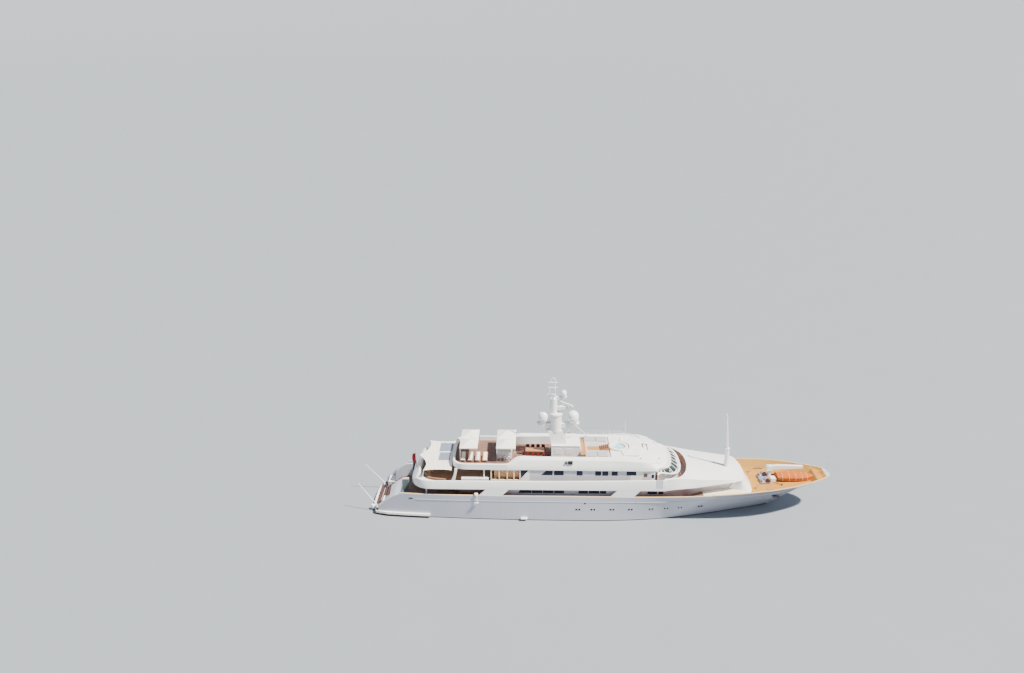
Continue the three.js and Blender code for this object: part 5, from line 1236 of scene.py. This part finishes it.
def bar_and_table():
    bar, front, stools, chairs = Shape(), Shape(), Shape(), Shape()
    for x0, x1, y0, y1 in ((-15.95, -13.65, -1.75, -0.98), (-15.95, -13.65, 0.98, 1.75),
                           (-15.95, -15.58, -1.0, 1.0), (-14.02, -13.65, -1.0, 1.0)):
        bar.box(x0, x1, y0, y1, 9.4, 9.46)
    bar.done("bar_counter", "counter", bevel=0.02)
    for x in span(-15.7, -13.9, 0.36):
        front.box(x - 0.15, x + 0.15, -1.725, -1.705, 8.3, 9.3)
    front.mirror().done("bar_panels", "white", bevel=0.01)
    deck = SUN_DECK + 0.015
    for x in (-15.4, -14.8, -14.2):
        stools.turned([(0.2, 0), (0.2, 0.02), (0.04, 0.05), (0.04, 0.62), (0.2, 0.64), (0.22, 0.7),
                       (0.16, 0.75), (0, 0.76)], (x, -2.2, deck), sides=18)
    stools.done("bar_stools", "steel")
    places = [(-11.3 + 0.8 * i, side * 1.2, (0, side)) for i in range(4) for side in (-1, 1)]
    for x, y, (bx, by) in places + [(-12.1, 0, (-1, 0)), (-8.3, 0, (1, 0))]:
        def at(back, across, z):
            return x + bx * back - by * across, y + by * back + bx * across, z
        half = 0.26
        corners = ((-0.25, -half), (0.25, -half), (0.25, half), (-0.25, half))
        chairs.loft([[at(b, c, z) for b, c in corners] for z in (8.56, 8.64)])
        for b, c in corners:
            chairs.tube([at(b, c, deck), at(b, c, 8.56)], 0.025, 6)
        chairs.loft([[at(b, c, z) for b, c in ((0.22, -half), (0.28, -half), (0.28, half), (0.22, half))]
                     for z in (8.64, 9.12)])
        for c in (-half, half):
            chairs.tube([at(-0.2, c, 8.64), at(-0.2, c, 8.84), at(0.25, c, 8.86)], 0.022, 6)
    chairs.done("dining_chairs", "dark_red", bevel=0.008)
    slab_pad(-11.62, -8.78, -0.72, 0.72, 8.925, 8.97, 0.1).done("dining_top", "honey", bevel=0.01)


def winter_garden():
    """The inside of the glazed room aft of the upper deckhouse, and the slanted panel beside it; the room's
    screens are painted light, brighter than their wood, since the room lies in shade.
    """
    deck = UPPER_DECK + LIFT
    inside = Shape().box(-16.3, -11.1, 4.0, 4.06, deck, 7.9)
    for x in span(-16.0, -11.6, 0.55):
        for z0, z1 in ((5.7, 6.7), (6.85, 7.75)):
            inside.box(x - 0.22, x + 0.22, 4.0, 4.1, z0, z1)
    inside.mirror().box(-11.1, -11.03, -4.5, 4.5, deck, 7.9).done("garden_screen", "garden", bevel=0.015)
    Shape().box(-15.9, -11.6, 4.14, 4.4, deck, 6.25).mirror().done(
        "garden_sideboards", "mahogany", bevel=0.03)
    Shape().across([(-12.3, deck), (-11.0, deck), (-11.0, 7.93), (-11.06, 7.93), (-12.3, 6.42)],
                   -4.815, -4.72).mirror().done("garden_fin", "white", bevel=0.01)
    Shape().across([(-12.3, 6.44), (-11.08, 7.93), (-12.3, 7.93)], -4.80, -4.73).mirror().done(
        "garden_fin_glass", "glass")


def upper_aft_deck():
    """Bench round the stern, side lockers and posts of the upper deck's open end."""
    deck, seat, back, lockers = UPPER_DECK + LIFT, Shape(), Shape(), Shape()
    line = [(-23.6, -4.95), (-24.6, -4.85), (-25.7, -4.55), (-26.4, -3.9), (-26.75, -2.8), (-26.8, -1.4)]
    for side, _ in SIDES:
        path = [Vector((p.x, -p.y * side, 0)) for p in smoothed(line, 0.3)]
        for shape, section in (
                (seat, ((0.0, 5.57), (0.72, 5.57), (0.78, 5.97), (0.74, 6.01), (0.0, 6.01))),
                (back, ((-0.22, 5.57), (0.06, 5.57), (0.02, 6.46), (-0.1, 6.48), (-0.22, 6.46)))):
            rings = []
            for i, at in enumerate(path):
                way = (path[min(i + 1, len(path) - 1)] - path[max(i - 1, 0)]).normalized()
                out = Vector((way.y, -way.x, 0)) * -side
                rings.append([at + out * w + Vector((0, 0, z)) for w, z in section])
            shape.loft(rings)
    seat.done("aft_bench_seat", "step_wood", bevel=0.02)
    back.done("aft_bench_back", "walk", bevel=0.02)
    for x0, x1 in ((-21.15, -19.85), (-19.82, -18.5), (-18.47, -17.1)):
        lockers.box(x0, x1, 4.3, 5.0, deck, 6.42)
        lockers.box(x0 - 0.01, x1 + 0.01, 4.28, 5.02, 6.44, 6.5)
    lockers.tube([(-17.77, 4.6, 6.4), (-17.77, 4.6, SUN_SLAB)], 0.11, 16)
    lockers.box(-17.9, -17.64, 4.47, 4.73, deck, 6.45)
    lockers.mirror().done("side_lockers", "white", bevel=0.03)
    table = Shape().loft([[(-24.7 + r * 1.5 * cos(a), r * 0.85 * sin(a), z) for a in turn(40)]
                          for r, z in ((0.96, 6.24), (1.0, 6.26), (1.0, 6.3), (0.97, 6.32))])
    for x in (-25.3, -24.1):
        table.turned([(0.28, 0), (0.28, 0.03), (0.08, 0.08), (0.08, 0.66)], (x, 0, 5.57), sides=20)
    table.done("aft_deck_table", "honey", bevel=0.01)


def smooth_fittings():
    """Round parts that the model holds with flat sides, turned again with a fine outline."""
    dome = [(0.7, 0), (0.74, 0.2), (0.86, 0.34), (0.97, 0.5), (1, 0.62), (1, 0.98), (1.012, 1.0),
            (1.012, 1.03), (1, 1.05)] + [(cos(a), 1.3 + sin(a)) for a in (pi / 2 * i / 14 for i in range(15))]
    for name, x, seat, r in (("sat_dome_aft", -8.95, 13.5, 0.76), ("sat_dome_fore", -4.45, 13.5, 0.84),
                             ("sat_dome_upper", -5.95, 17.75, 0.45)):
        Shape().turned([(r * wide, max(r * up, 0.003)) for wide, up in dome], (x, 0, seat), sides=48).done(
            name + "_shell", "dome", slot="dome_plastic", replaces=(name,))
    foot, collar, head = Vector((19.2, 0, 6.2)), Vector((19.13, 0, 9.45)), Vector((18.65, 0, 15.06))
    mast = Shape().tube([foot, foot.lerp(collar, 0.5), collar], [0.44, 0.36, 0.29], 32)
    mast.tube([collar + Vector((0, 0, -0.16)), collar + Vector((0, 0, 0.02))], 0.37, 32)
    mast.tube([collar + Vector((0, 0, -0.1)), collar.lerp(head, 0.5), head], [0.18, 0.14, 0.1], 24)
    mast.tube([(18.69, -0.42, 14.6), (18.69, 0.42, 14.6)], 0.05, 12)
    for y in (-0.4, 0.0, 0.4):
        mast.turned([(0.09, 0), (0.09, 0.16), (0.05, 0.2)], (18.69, y, 14.62), sides=12)
    mast.turned([(0.6, 0.0), (0.6, 0.03), (0.5, 0.06), (0.43, 0.1)], (19.2, 0, 6.3), sides=32)
    mast.tube([(18.98, 0.3, 9.6), (18.62, 0.2, 14.5)], 0.012, 6)
    mast.done("foremast_pole", "mast", slot="mast_paint", replaces=("foremast",))


def stern_details():
    z0, z1, aft = PLATFORM_TOP + 0.003, PLATFORM_TOP + 0.016, -33.89
    edge = through([(-34.95, 0.3), (-34.8, 2.6), (-34.6, 3.8), (-34.3, 4.4), (-33.9, 4.75)])
    boards = Shape().loft([level_strip(x, edge(x) - 0.12, z0, z1) for x in span(-34.6, -33.95, 0.1)])
    boards.box(aft, STAIR_FOOT_X - 0.04, -STAIR_HALF, STAIR_HALF, z0, z1)
    for low, high in ((-LANDING_OUT + 0.03, -STAIR_HALF), (STAIR_HALF, LANDING_OUT - 0.03)):
        boards.box(aft, LANDING_AFT - 0.02, low, high, z0, z1)
    boards.done("platform_boards", "brown")
    Shape().box(LANDING_AFT + 0.04, LANDING_FORE - 0.04, 2.22, LANDING_OUT - 0.03, LANDING_Z + 0.003,
                LANDING_Z + 0.05).mirror().done("landing_pads", "white", bevel=0.02)
    fenders = Shape().turned([(0.04, -0.42), (0.1, -0.4), (0.24, -0.3), (0.3, -0.12), (0.3, 0.12),
                              (0.24, 0.3), (0.1, 0.4), (0.05, 0.5)], (-35.02, -3.0, 0.5), sides=28)
    fenders.turned([(0.04, -0.55), (0.12, -0.5), (0.19, -0.4), (0.2, -0.3), (0.2, 0.3), (0.19, 0.4),
                    (0.12, 0.5), (0.04, 0.55)], (-11.8, -6.02, 0.42), (1, 0, 0), 28)
    fenders.done("fenders", "fender")
    davit = Shape().turned([(0.26, 0), (0.3, 0.04), (0.3, 0.2), (0.22, 0.3), (0, 0.32)],
                           (-18.95, -5.78, 4.16))
    davit.tube([(-18.85, -5.98, 4.3), (-18.8, -6.04, 3.05)], 0.05, 10)
    davit.box(-19.2, -18.55, -6.12, -5.9, 2.93, 3.03)
    davit.done("side_davit", "mast", bevel=0.02)


def side_doors():
    """Doorways, windows and recesses at the fore end of the upper deck's side, and round the bridge; the
    doorways and the door recess are flat panels in painted shade.
    """
    deck, skin, proud = UPPER_DECK + LIFT, 4.815, 4.87
    # Painted shade: a grey panel darkens the wall where the doors stand back in a recess.
    Shape().box(5.85, 6.92, -skin, -4.79, deck, 7.86).mirror().done("door_recess_painted_shade", "gate")
    # Painted shade: flat dark panels stand for the open doorways and the shaded rooms behind them.
    dark = Shape().box(7.68, 8.04, -skin, -4.79, deck, 7.75).box(6.0, 6.5, -4.83, -4.81, 6.95, 7.5)
    dark.mirror().done("side_doorways", "inside")
    for side, word in SIDES:
        door, pane = f"wheelhouse_door_{word}", rounded_plan(7.12, 7.5, 6.75, 7.35, 0.06)
        Shape().loft([[(x, side * y, z) for x, z in pane] for y in (4.78, skin)]).done(
            f"{door}_pane", "glass", door)
        grip = [(7.04, side * y, z) for y, z in ((skin, 6.45), (proud, 6.45), (proud, 6.62), (skin, 6.62))]
        Shape().tube(grip, 0.014).done(f"{door}_handle", "steel", door)


def foredeck_gear():
    """Windlasses with their chains and brakes, bollards and vents of the foredeck."""
    deck, gear, steel = deck_z(25.0), Shape(), Shape()
    for side, _ in SIDES:
        y, pipe, brake, bollard = side * 1.05, side * 1.9, side * 0.55, side * 3.6
        gear.turned([(0.12, -0.34), (0.3, -0.32), (0.3, -0.24), (0.16, -0.2), (0.16, -0.06), (0.3, -0.02),
                     (0.3, 0.06), (0.12, 0.08)], (25.42, y, deck + 0.5), (0, 1, 0))
        gear.box(25.12, 25.72, y - 0.3, y - 0.14, deck + 0.2, deck + 0.46)
        chain = [Vector(p) for p in ((25.66, y - 0.12, deck + 0.42), (26.6, y * 1.1, deck + 0.16),
                                     (27.4, pipe, deck + 0.12))]
        for a, b in zip(chain, chain[1:]):
            n = max(2, round((b - a).length / 0.11))
            for k in range(n):
                gear.tube([a.lerp(b, k / n), a.lerp(b, (k + 1.25) / n)], 0.035 if k % 2 else 0.05, 6)
        gear.turned([(0.16, 0), (0.16, 0.05), (0.1, 0.08), (0.1, 0.2), (0.14, 0.22), (0, 0.24)],
                    (27.4, pipe, deck_z(27.4) + 0.01), sides=18)
        for x in (24.65, 25.35):
            for dx in (0.0, 0.34):
                steel.turned([(0.09, 0), (0.09, 0.3), (0.12, 0.33), (0.12, 0.38), (0, 0.4)],
                             (x + dx, bollard, deck_z(x) + LIFT), sides=16)
            gear.box(x - 0.14, x + 0.48, bollard - 0.14, bollard + 0.14, deck_z(x) + 0.01, deck_z(x) + 0.06)
        steel.tube([(24.6, brake, deck + 0.22), (24.6, brake, deck + 0.62)], 0.025)
        steel.turned([(0.15, -0.02), (0.17, 0), (0.15, 0.02)], (24.6, brake, deck + 0.62), (1, 0, 0.3), 18)
        steel.turned([(0.11, 0), (0.11, 0.28), (0.2, 0.34), (0.2, 0.4), (0, 0.46)],
                     (23.5, side * 2.6, deck_z(23.5) + 0.01), sides=20)
    gear.done("windlass_gear", "chain", bevel=0.01)
    steel.done("foredeck_bollards", "steel")


# Windows
def panes(name, rows, y, proud=0.015, e=0.05):
    """Dark panes in thin frames on both walls; rows are x0, x1, z0, z1 and the slant of the aft edge."""
    glass, frames = Shape(), Shape()
    for x0, x1, z0, z1, slant in rows:
        glass.across([(x0, z0), (x1, z0), (x1, z1), (x0 + slant, z1)], -y - proud, -y + 0.03)
        frames.across([(x0 - e, z0 - e), (x1 + e, z0 - e), (x1 + e, z1 + e), (x0 + slant - e * 0.6, z1 + e)],
                      -y - proud * 0.6, -y + 0.02)
    glass.mirror().done(name + "_glass", "glass", bevel=0.006)
    frames.mirror().done(name + "_frames", "dark")


UPPER_WINDOWS = [(-9.25, -7.6, 7.12, 7.78, 0.75), (-7.3, -5.95, 7.12, 7.78, 0), (-3.95, -3.15, 7.12, 7.78, 0),
                 (-1.2, -0.4, 7.12, 7.78, 0), (-0.15, 0.65, 7.12, 7.78, 0), (1.25, 2.05, 7.15, 7.8, 0),
                 (3.45, 4.8, 7.2, 7.82, 0)]
MAIN_WINDOWS = [(x0, x1, 4.2, 4.95, slant) for x0, x1, slant in (
    (-12.6, -10.75, 0.35), (-10.6, -9.1, 0), (-8.95, -7.4, 0), (-7.25, -5.85, 0), (-3.6, -2.3, 0),
    (-2.1, -0.6, 0), (-0.4, 0.45, 0), (6.7, 8.0, 0), (8.3, 8.95, 0))]
# x, z, half-width and half-height of each porthole
PORTHOLES = [(x + at, 1.95, 0.15, 0.14) for x in (-3.95, -1.7, 1.15, 3.9, 7.0, 9.3, 11.4, 14.5)
             for at in (0, 0.43)]
PORTHOLES += [(-2.7, 3.0, 0.14, 0.12), (-28.8, 3.3, 0.34, 0.12)]


def portholes():
    glass, rims = Shape(), Shape()
    for x, z, w, h in PORTHOLES:
        for shape, grow, proud in ((rims, 0.04, 0.015), (glass, 0.0, 0.022)):
            outline = [(x + (w + grow) * copysign(abs(cos(a)) ** 0.6, cos(a)),
                        z + (h + grow) * copysign(abs(sin(a)) ** 0.6, sin(a))) for a in turn(20)]
            shape.loft([[(px, -hull_half(px, pz) - depth, pz) for px, pz in outline]
                        for depth in (-0.06, proud)])
    glass.mirror().done("porthole_glass", "glass")
    rims.mirror().done("porthole_rims", "steel")


# Build
# The CAD nodes that show, by look; a node takes the longest of these names that it begins with
NODE_LOOKS = {name: look for look, names in {
    "white": "deck_locker wheelhouse hot_tub bar_house mast_house tender_hull mooring_whip_",
    "mast": "radar_mast radar_scanner crane_", "steel": "tender_cradle capstan_ canopy_frame_",
    "bronze": "propeller_ rudder_ stabiliser_fin_", "ledge": "swim_platform", "shade": "main_deckhouse",
    "grey": "upper_deckhouse", "cream": "winter_garden_frame", "smoked": "saloon_door_",
    "dark": "helm_console", "gate": "boarding_gate_", "honey": "dining_table", "bed": "windlass_bed",
    "chain": "anchor_",
}.items() for name in names.split()}


def dress_cad():
    """Looks for the CAD nodes that stay as they are."""
    for name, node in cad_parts.items():
        key = max((k for k in NODE_LOOKS if name.startswith(k)), key=len, default=None)
        if key:
            node.data.materials.clear()
            node.data.materials.append(LOOKS[NODE_LOOKS[key]])


def make_floor(sides=96):
    """A flat pale floor that rises gently far away, so that no horizon shows."""
    rings = [(1.0, 0.0), (600.0, 0.0)] + [(600 + 100 * i, (100 * i) ** 2 / 9000.0) for i in range(1, 16)]
    faces = [(s + i, s + (i + 1) % sides, s + sides + (i + 1) % sides, s + sides + i)
             for s in range(0, sides * (len(rings) - 1), sides) for i in range(sides)]
    mesh = bpy.data.meshes.new("floor")
    mesh.from_pydata([(r * cos(a), r * sin(a), z) for r, z in rings for a in turn(sides)], [],
                     faces + [tuple(reversed(range(sides)))])
    mesh.shade_smooth()
    floor = linked("floor", mesh)
    look = Look("floor", 0.75)
    look.feed(look.shader.inputs["Base Color"],
              look.blend(look.noise(0.2), (0.215, 0.24, 0.265), (0.225, 0.25, 0.275)))
    mesh.materials.append(look.material)


set_camera()
set_light()
make_floor()
dress_cad()
make_hull()
main_decks()
hull_trim()
make_upper_deck()
make_sundeck()
make_fore_house()
make_bridge()
panes("upper_windows", UPPER_WINDOWS, 4.8)
panes("main_windows", MAIN_WINDOWS, 4.95)
portholes()
awning()
canopy("canopy_aft", -21.5, -18.8)
canopy("canopy_fore", -16.0, -13.1)
tender_wrap()
flag()
sun_bed()
seats()
loungers()
guard_rail()
sundeck_fittings()
mast_house_trim()
hot_tub_trim()
bar_and_table()
winter_garden()
upper_aft_deck()
smooth_fittings()
stern_details()
side_doors()
foredeck_gear()
